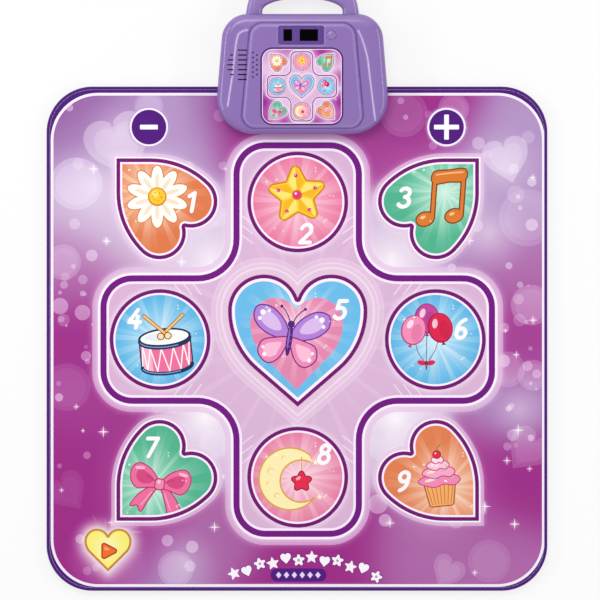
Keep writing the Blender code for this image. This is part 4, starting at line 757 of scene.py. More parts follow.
def ornament(layers, within):
    # an arched row of stars, hearts and flowers over a small dark plaque of plain lozenges
    for index, x in enumerate(np.linspace(garland["from"], garland["to"], garland["pieces"])):
        lean = -garland["lean"] * (x - garland["middle"]) / garland["half"]
        share = (x - garland["middle"]) / garland["half"]
        y = garland["crest"] - garland["sag"] * share**2 + 2.5 * (-1) ** index
        if index % 3 == 0:
            loop = moved(rounded(star(0, 0, 1.08, 0.5), 0.08), x, y, 11, lean)
        elif index % 3 == 1:
            loop = moved(heart(hearts["small"], (0, -0.95), 90), x, y, 9.6, lean)
        else:
            turn = np.radians(np.arange(60) * 6.0)
            reach = 0.80 + 0.22 * np.cos(5 * turn)
            loop = moved(np.stack([reach * np.cos(turn), reach * np.sin(turn)], 1), x, y, 10, lean + 18)
        paint(layers, swelled(loop, 1.3), "5b2374", 0.8, within)
        paint(layers, loop, "fdf6ff", 1.0, within)
        if index % 3 == 2:
            paint(layers, circle(x, y, 2.4, 16), "d98ac4", 1.0, within)
    paint(layers, box(*garland["plaque"]), "4f1480", 1.0, within)
    for x in np.linspace(*garland["lozenges"]):
        y = garland["lozengeY"]
        paint(layers, [(x - 4.6, y), (x, y - 5.5), (x + 4.6, y), (x, y + 5.5)], "e9d8f4", 1.0, within)


def coverPrint():
    layers = []
    f = frameLine
    edges = [boxAt(0, f["centreY"], f["half"], f["half"], f["radius"], side * f["width"] / 2, 16)
             for side in (1, -1)]
    paint(layers, edges[0], "f7ecfb")
    field = paint(layers, edges[1], groundInk)
    driftingShapes(layers, field)
    ornament(layers, field)
    crossPrint(layers)
    # glows and lines round the pads that stand off the cross
    start = pads["start_pad"][0]
    paint(layers, start(26), "fff8f2", halo(start(1), 25, 0.8))
    for name in cornerPads:
        outline = pads[name][0]
        paint(layers, outline(18), "fff8ff", halo(outline(2), 16, 0.5))
        paint(layers, outline(9.0), "ebc6e8", 0.62)
        paint(layers, outline(2.9), "fffbff")
    for name in ("minus_pad", "plus_pad"):
        outline = pads[name][0]
        paint(layers, outline(5), "c59bd8", halo(outline(0.5), 4.5, 0.6))
    return layers


# Numerals: strokes in a box one high and 0.62 wide
digits = {
    "1": [[(0.14, 0.80), (0.38, 0.96)], [(0.38, 0.96), (0.38, 0.04)]],
    "2": [bend(0.30, 0.70, 0.25, 0.26, 165, -38), [(0.50, 0.54), (0.08, 0.06)], [(0.08, 0.05), (0.58, 0.05)]],
    "3": [bend(0.28, 0.74, 0.24, 0.22, 150, -85), bend(0.28, 0.27, 0.28, 0.25, 85, -150)],
    "4": [[(0.40, 0.95), (0.05, 0.34)], [(0.05, 0.33), (0.62, 0.33)], [(0.45, 0.62), (0.45, 0.04)]],
    "5": [[(0.56, 0.95), (0.18, 0.95)], [(0.18, 0.95), (0.13, 0.58)],
          bend(0.28, 0.33, 0.28, 0.28, 122, -145)],
    "6": [bend(0.56, 0.48, 0.46, 0.50, 105, 190), bend(0.31, 0.28, 0.23, 0.24, 0, 180),
          bend(0.31, 0.28, 0.23, 0.24, 180, 360)],
    "7": [[(0.06, 0.95), (0.58, 0.95)], [(0.58, 0.95), (0.24, 0.04)]],
    "8": [bend(0.31, 0.74, 0.20, 0.20, 0, 180), bend(0.31, 0.74, 0.20, 0.20, 180, 360),
          bend(0.31, 0.28, 0.25, 0.25, 0, 180), bend(0.31, 0.28, 0.25, 0.25, 180, 360)],
    "9": [bend(0.06, 0.52, 0.46, 0.50, -75, 10), bend(0.31, 0.72, 0.23, 0.24, 0, 180),
          bend(0.31, 0.72, 0.23, 0.24, 180, 360)],
}


def numeral(layers, digit, x, y, within, high=33, weight=0.20):
    # each stroke slants to the right by a sixth of its height
    for path in digits[digit]:
        path = np.asarray(path, float)
        band = stroke(np.linspace(path[0], path[1], 3) if len(path) == 2 else path, weight)
        band = np.column_stack([band[:, 0] + 0.17 * band[:, 1] - 0.39, band[:, 1] - 0.5])
        paint(layers, moved(band, x, y, high), "fffaff", 1.0, within)


# Pictures: plain generic ones about (0, 0), drawn from the back to the front.
# Each is handed draw(outline, colour, cover)

def edged(draw, loop, grow, dark, light):
    draw(swelled(loop, grow), dark)
    draw(loop, light)


def sidedBlob(controls, side):
    return anticlockwise(blob(np.array(controls) * [side, 1]))


def daisy(draw):
    petal = oval(0, 30, 9.6, 21)
    for loop, colour, cover in ((swelled(petal, 1.8), "d9813f", 1.0), (petal, "fffaf3", 1.0),
                                (oval(0, 26, 3.2, 12), "f6dcc0", 0.8)):
        for n in range(10):
            draw(moved(loop, turn=36 * n), colour, cover)
    draw(circle(0, 0, 15.5), "d98a1c")
    draw(circle(0, 0.6, 13.2), "fbc92f")
    draw(circle(-3.5, 4.5, 5.5, 24), "ffe783", 0.9)
    for n in range(7):
        draw(circle(7 * math.cos(n), 7 * math.sin(n), 1.2, 10), "d98a1c", 0.9)


def bigStar(draw):
    body = star(0, 0, 60, 29)
    draw(rounded(body, [7, 4] * 5, 3.2), "d9861c")
    draw(rounded(body, [7, 4] * 5), "fcd12f")
    facets = (([(0, 4), (0, 53), (-14.5, 22.5)], "ffe97a", 0.95),
              ([(0, 4), (14.5, 22.5), (0, 53)], "f4b41f", 0.8), (circle(0, 35, 3.6, 20), "e8347c", 1.0),
              (circle(-1.1, 36.2, 1.1, 10), "ffd0e2", 1.0))
    for n in range(5):
        for loop, colour, cover in facets:
            draw(moved(loop, turn=72 * n), colour, cover)
    draw(circle(0, 0, 9.5, 30), "d9861c")
    draw(circle(0, 0, 7.6, 30), "e8347c")
    draw(circle(-2.3, 2.6, 2.3, 16), "ffd0e2")


def notes(draw):
    beam = blob([(-14, 26), (-14, 45), (12, 50), (39, 54), (39, 35), (12, 31)], 3)
    for grow, colour in ((2.2, "7c3710"), (0.0, "dd7a2e")):
        for x, y in ((-24, -36), (25, -27)):
            draw(oval(x, y, 15 + grow, 11 + grow, 22), colour)
        for x, low in ((-12, -33), (37, -24)):
            draw(stroke([(x, low), (x, low + 38), (x, low + 75)], 5.6 + 2 * grow), colour)
        draw(swelled(beam, grow), colour)
    for x, y in ((-28, -33), (21, -24)):
        draw(oval(x, y, 5, 2.6, 22), "ffc68e", 0.95)
    draw(stroke([(-10, 41), (12, 45.5), (35, 49)], 2.4), "ffc68e", 0.9)


def drum(draw):
    side = np.concatenate([bend(0, -30, 42, 13, 180, 360, 20), bend(0, 18, 42, 13, 0, -180, 20)])
    draw(swelled(anticlockwise(side), 2.2), "1c2c57")
    draw(side, "f0709f")
    draw(np.concatenate([bend(0, -30, 42, 13, 200, 235, 8), bend(0, 18, 42, 13, 235, 200, 8)]), "ffc3d8", 0.8)
    for n in range(6):
        # a cord from the lower hoop up to the rim and down again
        left, top, right = (math.radians(first + 28 * n) for first in (190, 204, 218))
        peak = (42 * math.cos(top), 12 + 13 * math.sin(top))
        draw(stroke([(42 * math.cos(left), -26 + 13 * math.sin(left)), peak], 2.0), "fffdf8")
        if n < 5:
            draw(stroke([peak, (42 * math.cos(right), -26 + 13 * math.sin(right))], 2.0), "fffdf8")
    for y in (-30, 14):
        draw(stroke(bend(0, y, 42, 13, 180, 360, 30), 6.4), "1c2c57")
        draw(stroke(bend(0, y + 0.6, 42, 13, 190, 300, 22), 1.6), "7fb6e6", 0.9)
    draw(oval(0, 18, 44.5, 15.5), "1c2c57")
    draw(oval(0, 18, 40.5, 12.2), "fffdf9")
    draw(oval(-8, 20, 26, 6.5), "e3ecf6", 0.8)
    for x, lean in ((-6, 32), (6, -28)):
        for wide, colour in ((6.4, "8a4b1a"), (4.0, "f5c377")):
            draw(moved(stroke([(0, 0), (0, 26), (0, 52)], wide), x, 20, 1, -lean * 1.6), colour)
        for radius, colour in ((6.4, "8a4b1a"), (4.8, "ffe0ac")):
            draw(moved(circle(0, 0, radius, 24), x, 20), colour)


def butterfly(draw):
    # controls, edge, field, inner field and its middle
    wings = (([(3, 6), (14, 30), (38, 48), (60, 46), (62, 26), (44, 8), (18, 0)],
              "6f2a93", "b583d9", "e2c4f1", (36, 27)),
             ([(3, 0), (22, -2), (44, -10), (48, -30), (32, -44), (16, -36), (6, -16)],
              "8e2a7a", "f08cbc", "ffc4dd", (28, -22)))
    for side in (1, -1):
        for controls, dark, light, pale, centre in wings:
            wing = sidedBlob(controls, side)
            middle = np.array(centre) * [side, 1]
            edged(draw, wing, 2.2, dark, light)
            draw(middle + (wing - middle) * 0.62, pale, 0.9)
        for x, y, radius in ((50, 38, 4.6), (54, 27, 3.2), (40, 42, 3.0), (38, -32, 3.6), (42, -20, 2.6)):
            draw(circle(side * x, y, radius, 20), "fffaff", 0.95)
        draw(stroke(np.array([(2, 24), (6, 36), (13, 46), (20, 52)]) * [side, 1], 1.8), "4f1f78")
        draw(circle(side * 20, 52, 2.6, 16), "4f1f78")
    draw(oval(0, -3, 5.2, 27), "4f1f78")
    draw(circle(0, 24, 6.0, 28), "4f1f78")
    draw(oval(-1.4, 0, 1.5, 18), "a678cf", 0.9)
    for y, wide in ((-14, 4.2), (-4, 4.4), (6, 4.4)):
        draw(oval(0, y, wide, 1.2), "8b57b8", 0.9)


def balloons(draw):
    for x, y, lean in ((-22, 14, 12), (24, 18, -12), (1, 30, 0)):
        string = [(x + 0.35 * lean, y - 28), (x * 0.6, y - 44), (x * 0.15, -44), (0, -58)]
        draw(stroke(blobPath(string), 1.3), "7b4566", 0.9)
    for x, y, lean, dark, light in ((1, 30, 0, "8c2b6e", "c7469a"), (-22, 10, 12, "b8477e", "f78fba"),
                                    (24, 14, -12, "a3123a", "df2350")):
        for loop, colour, cover in ((oval(0, 0, 21.4, 26), dark, 1.0),
                                    ([(-4, -30), (4, -30), (0, -24)], dark, 1.0),
                                    (oval(0.4, 0.6, 19.4, 24), light, 1.0),
                                    (oval(6.5, -4, 9, 16), dark, 0.25),
                                    (oval(-7.5, 9, 4.6, 8.2, -18), "ffffff", 0.75)):
            draw(moved(loop, x, y, 1, -lean), colour, cover)
    for side in (1, -1):
        draw(moved(oval(8, 0, 7.5, 4.2, 15) * [side, 1], 0, -46), "df2350")
    draw(circle(0, -46, 3.4, 18), "a3123a")


def ribbonBow(draw):
    wing = [(4, 6), (20, 24), (42, 32), (54, 20), (52, 0), (40, -12), (20, -8), (4, -5)]
    tail = [(3, -4), (10, -18), (18, -36), (26, -54), (34, -44), (46, -46), (34, -24), (14, -6)]
    hollow = [(12, 8), (28, 19), (42, 20), (44, 6), (34, -3), (18, -1)]
    for side in (1, -1):
        for controls in (tail, wing):
            edged(draw, sidedBlob(controls, side), 2.0, "b03468", "f06fa2")
        draw(sidedBlob(hollow, side), "d4487f", 0.95)
        draw(oval(side * 40, 24, 9, 3.2, -side * 8), "ffc6db", 0.9)
        draw(stroke(np.array([(7, 3), (16, 8), (26, 11)]) * [side, 1], 1.6), "b03468", 0.9)
        draw(stroke(np.array([(12, -16), (20, -30), (27, -43)]) * [side, 1], 2.0), "ffc6db", 0.7)
    draw(boxAt(0, 0, 9.5, 11, 6), "b03468")
    draw(boxAt(0, 0, 7.6, 9, 5), "f587b1")
    draw(oval(-2, 4, 3, 3.4), "ffd3e2", 0.9)


def moonAndStar(draw):
    for grow, colour in ((2.4, "dda53c"), (0, "fff0b4")):
        draw(np.concatenate([bend(0, 0, 47 + grow, 47 + grow, 48, 322, 44),
                             bend(17.5, -3.5, 34 - grow, 34 - grow, 309, 61, 34)]), colour)
    for x, y, radius in ((-30, 12, 5.5), (-34, -8, 3.6), (-20, -26, 4.6), (-10, 33, 3.4)):
        draw(circle(x, y, radius, 24), "f1d47e", 0.9)
        draw(circle(x + 0.9, y - 0.9, radius * 0.72, 20), "fff5cd", 0.9)
    draw(stroke([(18, 34), (18, 22), (18, 10)], 1.5), "dda53c")
    for grow, colour in ((1.8, "9c1230"), (0.0, "e52a4c")):
        draw(rounded(star(18, -4, 19, 9.5), [3, 2] * 5, grow), colour)
    draw(oval(13, 1, 4.2, 2.6, 35), "ffb3c0", 0.9)
    for x, y, size in ((40, 26, 6), (46, -28, 5), (-48, 44, 5)):
        draw(star(x, y, size, size * 0.4), "fff6d0")


def cupcake(draw):
    cup = anticlockwise([(-30, -6), (-22, -50), (22, -50), (30, -6)])
    draw(rounded(cup, 4, 2.2), "a1441c")
    draw(rounded(cup, 3), "f6b06a")
    for n in range(7):
        low, high = -18 + 6.0 * n, -25.5 + 8.5 * n
        draw(stroke([(low, -47), ((low + high) / 2, -28), (high, -9)], 2.0), "d9763a", 0.95)
    for wide, y, high, colour in ((40, -2, 12, "f58bb4"), (31, 14, 11, "fba9c8"), (21, 28, 9, "ffc4da"),
                                  (11, 39, 7, "ffdbe8")):
        puff = blob([(-wide, 0), (-wide * 0.72, high * 0.8), (0, high), (wide * 0.72, high * 0.8), (wide, 0),
                     (wide * 0.7, -high * 0.75), (wide * 0.2, -high * 0.5), (-wide * 0.3, -high * 0.85)])
        edged(draw, puff + [0, y], 2.0, "c2457c", colour)
        draw(oval(-wide * 0.45, y + high * 0.3, wide * 0.28, high * 0.24, 10), "fff1f6", 0.8)
    sprinkles = ((-24, 0, 20, "fff04a"), (-8, 3, 80, "5fc6ea"), (12, -3, -30, "ffffff"),
                 (26, 2, 40, "8fd36a"), (-14, 16, -50, "fff04a"), (8, 17, 10, "5fc6ea"),
                 (-2, 29, 60, "ffffff"), (16, 26, 120, "8fd36a"))
    for x, y, turn, colour in sprinkles:
        draw(moved(stroke([(-2.2, 0), (0, 0), (2.2, 0)], 2.2, 4), x, y, 1, turn), colour)
    draw(circle(0, 50, 8.6, 30), "8f1027")
    draw(circle(0, 50, 7.2, 30), "e3263f")
    draw(oval(-2.4, 52.6, 2.2, 1.6, 30), "ffc2c9")
    draw(stroke(blobPath([(0, 57), (3, 64), (9, 69)]), 1.7), "5f7f2a")


# Each step pad's look: its field and glow, its picture with its place, size and turn, and its numeral's place
ringInk = "740a70"
padLooks = {
    "pad_1": ("e07a4c", "ffe9cf", daisy, (-236, 240, 1.02, 0), (-178, 231)),
    "pad_2": ("ea7aa2", "ffdbe3", bigStar, (-1, 243, 0.93, 4), (14, 178)),
    "pad_3": ("50b48e", "ddf7ea", notes, (240, 236, 0.98, -4), (180, 239)),
    "pad_4": ("5cb4e4", "e5f6ff", drum, (-222, -14, 1.0, 6), (-274, 35)),
    "pad_5": ("6cbdea", "d9f0ff", butterfly, (-14, 2, 1.0, -8), (72, 50)),
    "pad_6": ("5cb4e4", "e5f6ff", balloons, (216, 6, 0.98, 0), (275, 18)),
    "pad_7": ("50b48e", "d8f6e8", ribbonBow, (-232, -243, 0.92, -10), (-246, -181)),
    "pad_8": ("e880a5", "ffe3ea", moonAndStar, (-13, -234, 1.08, 0), (45, -192)),
    "pad_9": ("e27f52", "ffe9d6", cupcake, (238, -236, 0.86, 6), (178, -238)),
}
burst = {"rays": 22, "length": 120, "reach": 100, "glow": 76, "innerRays": 18, "innerLength": 110,
         "innerGlow": 60,
         "sparkles": ((-52, 34, 4.5), (48, -30, 3.5), (-38, -44, 3.0), (30, 52, 3.2), (60, 10, 2.6))}


def padPrint(name, numbered=True):
    # dark ring, white line, tinted field with a burst of rays, a glow, the picture and the numeral
    outline, (x, y) = pads[name]
    tint, glow, picture, (px, py, size, turn), numeralAt = padLooks[name]
    layers = []
    paint(layers, outline(0.2), ringInk)
    paint(layers, outline(-5.9), "fdf0ff")
    field = paint(layers, outline(-9.3 if name != "pad_5" else -11), tint)
    step, length, reach = 360 / burst["rays"], burst["length"], burst["reach"]
    for index in range(burst["rays"]):
        wide = length * math.tan(math.radians(step * (0.26 + 0.07 * math.sin(index * 1.7))))
        angle = step * (index + 0.25 * math.sin(index * 2.1))
        ray = moved([(0, 0), (length, -wide), (length, wide)], x, y, 1, angle)
        paint(layers, ray, "fffaf4", fade(x, y, reach, 0.40 + 0.16 * math.sin(index * 2.9), 0.8), field)
    paint(layers, circle(x, y, burst["glow"], 48), glow, fade(x, y, burst["glow"], 0.9, 1.1), field)
    if name == "pad_5":
        # a smaller heart inside, with rays and a glow of its own
        inside = paint(layers, heart(hearts["inner"], (-2, -84), 90), "e487ae", 1.0, field)
        length = burst["innerLength"]
        for index in range(burst["innerRays"]):
            ray = moved([(0, 0), (length, -7), (length, 7)], x, y, 1, index * 360 / burst["innerRays"] + 5)
            paint(layers, ray, "ffffff", fade(x, y, reach, 0.42, 0.8), inside)
        wide = burst["innerGlow"]
        paint(layers, circle(x, y, wide, 44), "ffe3ef", fade(x, y, wide, 0.8, 1.2), inside)

    def draw(loop, colour, cover=1.0):
        paint(layers, moved(anticlockwise(loop), px, py, size, turn), colour, cover, field)

    picture(draw)
    for sx, sy, wide in burst["sparkles"]:
        paint(layers, star(x + sx, y + sy, wide, wide * 0.16, 4), "ffffff", 0.95, field)
        paint(layers, circle(x + sx * 0.8 + 6, y + sy * 1.1, wide * 0.4, 10), "ffffff", 0.8, field)
    if numbered:
        numeral(layers, name[-1], *numeralAt, field)
    return layers


sign = {"disc": 29.2, "barHalf": 3.9, "minusHalf": 15, "plusHalf": 21}


def signPrint(name):
    layers = []
    x, y = pads[name][1]
    thin = sign["barHalf"]
    wide = sign["minusHalf"] if name == "minus_pad" else sign["plusHalf"]
    paint(layers, circle(x, y, sign["disc"], 56), "4f127c")
    paint(layers, circle(x - 5, y + 7, 18, 40), "69309a", fade(x - 5, y + 7, 18, 0.3))
    paint(layers, boxAt(x, y, wide, thin, 1.2), "fffaff")
    if name == "plus_pad":
        paint(layers, boxAt(x, y, thin, wide, 1.2), "fffaff")
    return layers


def startPrint():
    layers = []
    outline, (x, y) = pads["start_pad"]
    body = paint(layers, outline(-3.2), "fbf07a")
    paint(layers, circle(x, y + 6, 34, 36), "fffdd8", fade(x, y + 6, 34, 0.9), body)
    arrow = [(-9, -13), (16, 0), (-9, 13)]
    for loop, colour, cover in ((rounded(arrow, 2.5, 2.4), "b5371d", 1.0),
                                (rounded(arrow, 2.5), "f0702c", 1.0),
                                (rounded([(-6, 1), (6, 1), (-6, 8)], 1.2), "ffb37a", 0.8)):
        paint(layers, moved(loop, x, y), colour, cover, body)
    return layers


# The cover: a printed sheet with a cut-out for each pad. Its waves keep padReach off each pad's middle
padMiddles = np.array([middle for outline, middle in pads.values()])
padReach = np.array([92.0] * 9 + [40, 40, 34])
waves = {"high": 0.34, "edgeCalm": (6, 30), "padCalm": (4, 25), "boxCalm": (340, 20)}


def matRelief(x, y):
    # slow waves a few tenths high that die out toward the edge, toward every pad and under the box
    wave = 0.5 * np.sin(x / 31 + 0.6) * np.sin(y / 37 + 1.1)
    wave = wave + 0.35 * np.sin((x + y) / 23) * np.cos((x - y) / 41)
    gap = (np.hypot(x[:, None] - padMiddles[:, 0], y[:, None] - padMiddles[:, 1]) - padReach).min(1)
    (first, wide), (near, far), (start, run) = waves["edgeCalm"], waves["padCalm"], waves["boxCalm"]
    edge = smooth((depth(np.stack([x, y], 1), matOutline(5.3, 4)) - first) / wide)
    return waves["high"] * wave * edge * smooth((gap - near) / far) * smooth((start - y) / run)


def makeMat():
    inner = matOutline(mat["bindingWidth"] + mat["seat"])
    cuts = [outline(mat["sideGap"]) for outline, middle in pads.values()]
    cover = slab(inner, cuts, mat["coverLow"], mat["coverTop"], coverPrint(), "4a1275", mat["lattice"],
                 matRelief, "e9dff0")
    piece = build("coverSheet", cover, "printedVinyl", ("cover_sheet",))
    print("cover:", len(piece.data.polygons), "triangles")


plug = {"round": 0.35, "easeIn": 0.12, "easeDown": 0.1, "lattice": 3.4, "hidden": "e9dff0"}


def makePads():
    top, flange, low, high = (mat[key] for key in ("plugTop", "flangeWidth", "flangeLow", "flangeTop"))
    ease, hidden = plug["round"], plug["hidden"]
    side = [(0, high), (0, top - ease), (-plug["easeIn"], top - plug["easeDown"]), (-ease, top)]
    for name, (outline, middle) in pads.items():
        if name in padLooks:
            layers, base = padPrint(name), ringInk
        elif name == "start_pad":
            layers, base = startPrint(), "cf8a2a"
        else:
            layers, base = signPrint(name), "fdf0ff"
        parts = [atHeight(printedMap(outline(-ease), (), layers, base, plug["lattice"]), top),
                 skin(outline, side, base),
                 skin(outline, [(flange, low), (flange, high), (0, high)], hidden),
                 flatFace(outline(flange), low, (), hidden, True)]
        pieceName = name.replace("_pad", "Pad").replace("pad_", "stepPad")
        piece = build(pieceName, parts, "printedVinyl", (name,), name)
    print("pads:", len(pads))


# The binding's section by its distance from the mat's edge and its height, and the stitches along it
tape = [(5, 0), (1.6, 0), (0.5, 0.45), (0.08, 1.6), (0, 3), (0, 8.8), (0.1, 10), (0.55, 11.05), (1.5, 11.5),
        (2.6, 11.6), (4.3, 11.6), (4.9, 11.4), (5, 11), (5, 0)]
stitch = {"inset": 3.5, "pitch": 5.2, "half": 1.55, "rings": 6, "around": 4, "wide": 0.42, "high": 0.36,
          "level": 11.52}


def makeBinding():
    build("edgeTape", [skin(lambda inset: matOutline(inset, 26), tape, "4b186c")], "bindingTape",
          ("edge_binding",), sharp=50)
    line = matOutline(stitch["inset"], 26)
    line = np.concatenate([line, line[:1]])
    run = np.concatenate([[0], np.cumsum(np.linalg.norm(np.diff(line, axis=0), axis=1))])
    count, rings, around = int(run[-1] / stitch["pitch"]), stitch["rings"], stitch["around"]
    start = np.arange(count)[:, None] * run[-1] / count + np.linspace(-stitch["half"], stitch["half"], rings)
    x, y = (np.interp(start, run, line[:, axis], period=run[-1]) for axis in (0, 1))
    way = np.stack([np.gradient(x, axis=1), np.gradient(y, axis=1)], 2)
    way /= np.linalg.norm(way, axis=2)[..., None]
    # across each stitch, a half round section of four points that is thickest in the middle of its length
    share = np.sqrt(1 - (np.linspace(-0.98, 0.98, rings)) ** 2)[None, :, None]
    turn = np.linspace(0, np.pi, around)[None, None, :]
    across = np.broadcast_to(stitch["wide"] * share * np.cos(turn), (count, rings, around))
    rise = np.broadcast_to(stitch["level"] + stitch["high"] * share * np.sin(turn), (count, rings, around))
    px = x[..., None] - way[..., 1:] * across
    py = y[..., None] + way[..., :1] * across
    points = np.stack([px, py, rise], 3).reshape(-1, 3)
    i, j = np.meshgrid(np.arange(rings - 1), np.arange(around), indexing="ij")
    beside = (j + 1) % around
    here, ahead = i * around, (i + 1) * around
    quads = np.stack([here + j, here + beside, ahead + beside, ahead + j], 2)
    ends = [np.arange(around)[::-1], np.arange(around) + (rings - 1) * around]
    one = np.concatenate([quads.reshape(-1, 4), ends])
    faces = (one[None] + np.arange(count)[:, None, None] * rings * around).reshape(-1, 4)
    build("edgeStitches", [{"points": points, "faces": faces, "inks": "501a7c"}], "thread", sharp=80)


layerStack = {
    # node: piece, finish, area in square metres, what it lies on
    "backing_sheet": ("gripBacking", "gripRubber", 0.676, ["clamp_plate"]),
    "lower_film": ("lowerFilm", "clearFilm", 0.69, ["gripBacking"]),
    "contact_print": ("contactPrint", "carbonInk", None, ["lowerFilm"]),
    "spacer_film": ("spacerSheet", "openFoam", 0.65, ["lowerFilm"]),
    "upper_film": ("upperFilm", "clearFilm", 0.69, ["spacerSheet"]),
    "pocket_foam": ("pocketFoam", "openFoam", 0.46, ["returnFoam"]),
}


def makeLayers():
    for node, (piece, look, area, under) in layerStack.items():
        layer = dressed(piece, node, look)
    dressed("filmTail", "ribbon_tail", "clearFilm")
    print("mat layers:", len(layerStack))


springs = {"low": 6.1, "high": 8.5, "grow": 0.3, "gap": 0.6, "pressed": 0.48}


def makeSprings():
    # the return foam: a sheet with a cut-out under each pad, and in it the foam that the pad presses flat
    s, flange = springs, mat["flangeWidth"]
    cuts = [outline(flange + s["gap"]) for outline, middle in pads.values()]
    cuts += [circle(*place, tray["screwHole"], 20) for place in tray["clampScrews"]]
    cuts.append(block(*tray["ribbon"]))
    sheet = slab(matOutline(mat["bindingWidth"] + mat["seat"]), cuts, s["low"], s["high"])
    piece = build("returnFoam", sheet, "openFoam", ("return_foam",))
    for name, (outline, middle) in pads.items():
        parts = slab(outline(flange + s["grow"]), (), s["low"], s["high"])
        spring = build(name.replace("_pad", "Spring").replace("pad_", "padSpring"), parts, "openFoam")
        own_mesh(spring)


# The control box: its shell, the panel raised on it, and what lies in the panel
shell = {"middleX": 8.0, "front": 149.0, "rear": 132.3, "frontY": 345.4, "rearY": 547.0,
         "radii": (60, 60, 44, 44), "low": 24.15, "shoulder": 34.0, "round": 14.0, "wall": 2.4, "lift": 3.5,
         "labelFloor": 50.1, "bezelFloor": 49.9, "labelLedge": 3.0, "groove": 1.3, "ridge": 1.1,
         "ridgeHalf": 2.0, "turns": 50}
panel = {"front": 102.6, "rear": 86.7, "frontY": 355.2, "rearY": 531.0, "radii": 22.0}
label = {"edge": (-62.3, 360.0, 76.3, 490.2, 20.0), "low": 50.4, "top": 51.2, "middle": (7.0, 425.1),
         "size": 0.178}
bezel = {"middle": (5.6, 511.15), "half": (38.05, 15.55), "radius": 3.0, "low": 50.2, "top": 51.1,
         "ease": 0.45, "windows": ((-23.95, -9.45), (3.35, 34.05)), "windowY": (501.25, 521.05)}
button = {"middle": (56.6, 511.15), "radius": 7.6, "gap": 0.3, "rim": 52.2, "top": 54.0}
grille = {"y": 461.3, "pitch": 8.2, "slotWidth": 2.2, "long": (-100.3, -85.2), "middleX": -91.9,
          "reach": 27.0, "shortEnd": -107.9, "holeSize": 2.6, "columns": ((-75.1, 6), (-68.4, 5))}
ridgePaths = (((-84.5, 519.5), (-95, 516), (-101.6, 506), (-106.5, 472), (-109.7, 442), (-117.6, 392)),
              ((102, 518.5), (109, 502), (117, 474), (121.5, 438), (126, 402), (130.2, 368)))
# the box's painted shade: outside is darker than the plastic's own 8768ae, low on the sides and over all of
# the base shell; inside, vent and pocket are darker still, painted shade on the inner faces, the slots' walls
# and the recesses
shellShades = {"outside": "74559c", "inside": "65478f", "vent": "5b3f8c", "pocket": "6a4c9a"}


def tapered(plan, grow, steps, sideSteps=0):
    # four sides about the box's middle line, with another width at the rear than at the front
    x, front, rear = shell["middleX"], plan["front"], plan["rear"]
    corners = [(x - front, plan["frontY"]), (x + front, plan["frontY"]), (x + rear, plan["rearY"]),
               (x - rear, plan["rearY"])]
    return rounded(corners, plan["radii"], grow, steps, sideSteps)


def boxOutline(grow=0.0):
    return tapered(shell, grow, 14, 14)


def panelOutline(grow=0.0):
    return tapered(panel, grow, 10, 20)


def labelOutline(grow=0.0):
    return box(*label["edge"], grow, 10)


def bezelOutline(grow=0.0):
    return boxAt(*bezel["middle"], *bezel["half"], bezel["radius"], grow, 6)


def windowOutlines(grow=0.3):
    low, high = bezel["windowY"]
    return [box(x0, low, x1, high, 0.6, grow, 3) for x0, x1 in bezel["windows"]]


def grilleOutlines():
    g, loops = grille, []
    for line in range(-3, 4):
        y, half = g["y"] + line * g["pitch"], g["slotWidth"] / 2
        loops.append(box(g["long"][0], y - half, g["long"][1], y + half, 0.5, 0, 3))
        if abs(line) < 3:
            left = g["middleX"] - math.sqrt(g["reach"] ** 2 - (line * g["pitch"]) ** 2)
            loops.append(box(left, y - half, g["shortEnd"], y + half, 0.5, 0, 3))
    half = g["holeSize"] / 2
    for x, count in g["columns"]:
        loops += [boxAt(x, g["y"] + (index - (count - 1) / 2) * g["pitch"], half, half, 0.35, 0, 3)
                  for index in range(count)]
    return loops


def ridgeGap(points, path):
    line = blobPath(path)
    return np.abs(depth(points, np.concatenate([line, line[::-1]])))


def bell(value, middle, wide):
    # a bell curve: one at the middle, and about 0.37 at the distance wide from it
    return np.exp(-(((value - middle) / wide) ** 2))


def roundedHeight(points, inset):
    # a quarter round from the wall to the top, inside the wall by the inset
    reach = shell["round"] - inset
    gap = np.clip(depth(points, boxOutline()) - inset, 0, reach)
    return shell["shoulder"] + np.sqrt(np.clip(reach ** 2 - (reach - gap) ** 2, 0, None))


def shellHeight(x, y):
    # the outside: a panel lifted through a soft step, a groove at the step's foot, and two low round ridges
    points = np.stack([x, y], 1)
    inside = depth(points, panelOutline())
    z = roundedHeight(points, 0)
    z = z + shell["lift"] * smooth((inside + 0.4) / 4.6) - shell["groove"] * bell(inside, -1.4, 1.0)
    for path in ridgePaths:
        share = np.clip(1 - (ridgeGap(points, path) / shell["ridgeHalf"]) ** 2, 0, 1)
        z = z + shell["ridge"] * share ** 2
    return z


def shellUnder(x, y):
    points = np.stack([x, y], 1)
    lifted = smooth((depth(points, panelOutline()) - 2) / 2)
    return roundedHeight(points, shell["wall"]) + shell["lift"] * lifted


def shellPaintedLight(x, y, z):
    # painted light and shade on the moulding: painted highlights just inside the panel's edge, round the
    # bezel and along the ridges, a paler painted sheen on the rear of the top, and painted shade in the
    # groove and low on the sides
    shape, points = x.shape, np.stack([x.ravel(), y.ravel()], 1)
    inside, rim = depth(points, panelOutline()), depth(points, bezelOutline())
    ridge = np.minimum(*(ridgeGap(points, path) for path in ridgePaths))
    colour = np.broadcast_to(ink("8768ae"), (len(points), 3))
    high = smooth((z.ravel() - 26) / 24)
    # in turn: painted shade low on the sides, painted sheen on the rear of the top, painted shade in the
    # groove, and painted highlights inside the panel's edge, round the bezel and along the ridges
    for share, tone in ((1 - high, shellShades["outside"]),
                        (0.34 * smooth((points[:, 1] - 522) / 16) * high, "b49fd2"),
                        (0.60 * bell(inside, -1.2, 1.1), "563a88"), (0.42 * bell(inside, 2.6, 1.5), "bda9dc"),
                        (0.30 * bell(rim, -1.6, 1.0), "bda9dc"), (0.70 * bell(ridge, 0, 1.45), "e6dcf6")):
        colour = colour + (ink(tone) - colour) * share[:, None]
    return colour.reshape(*shape, 3)


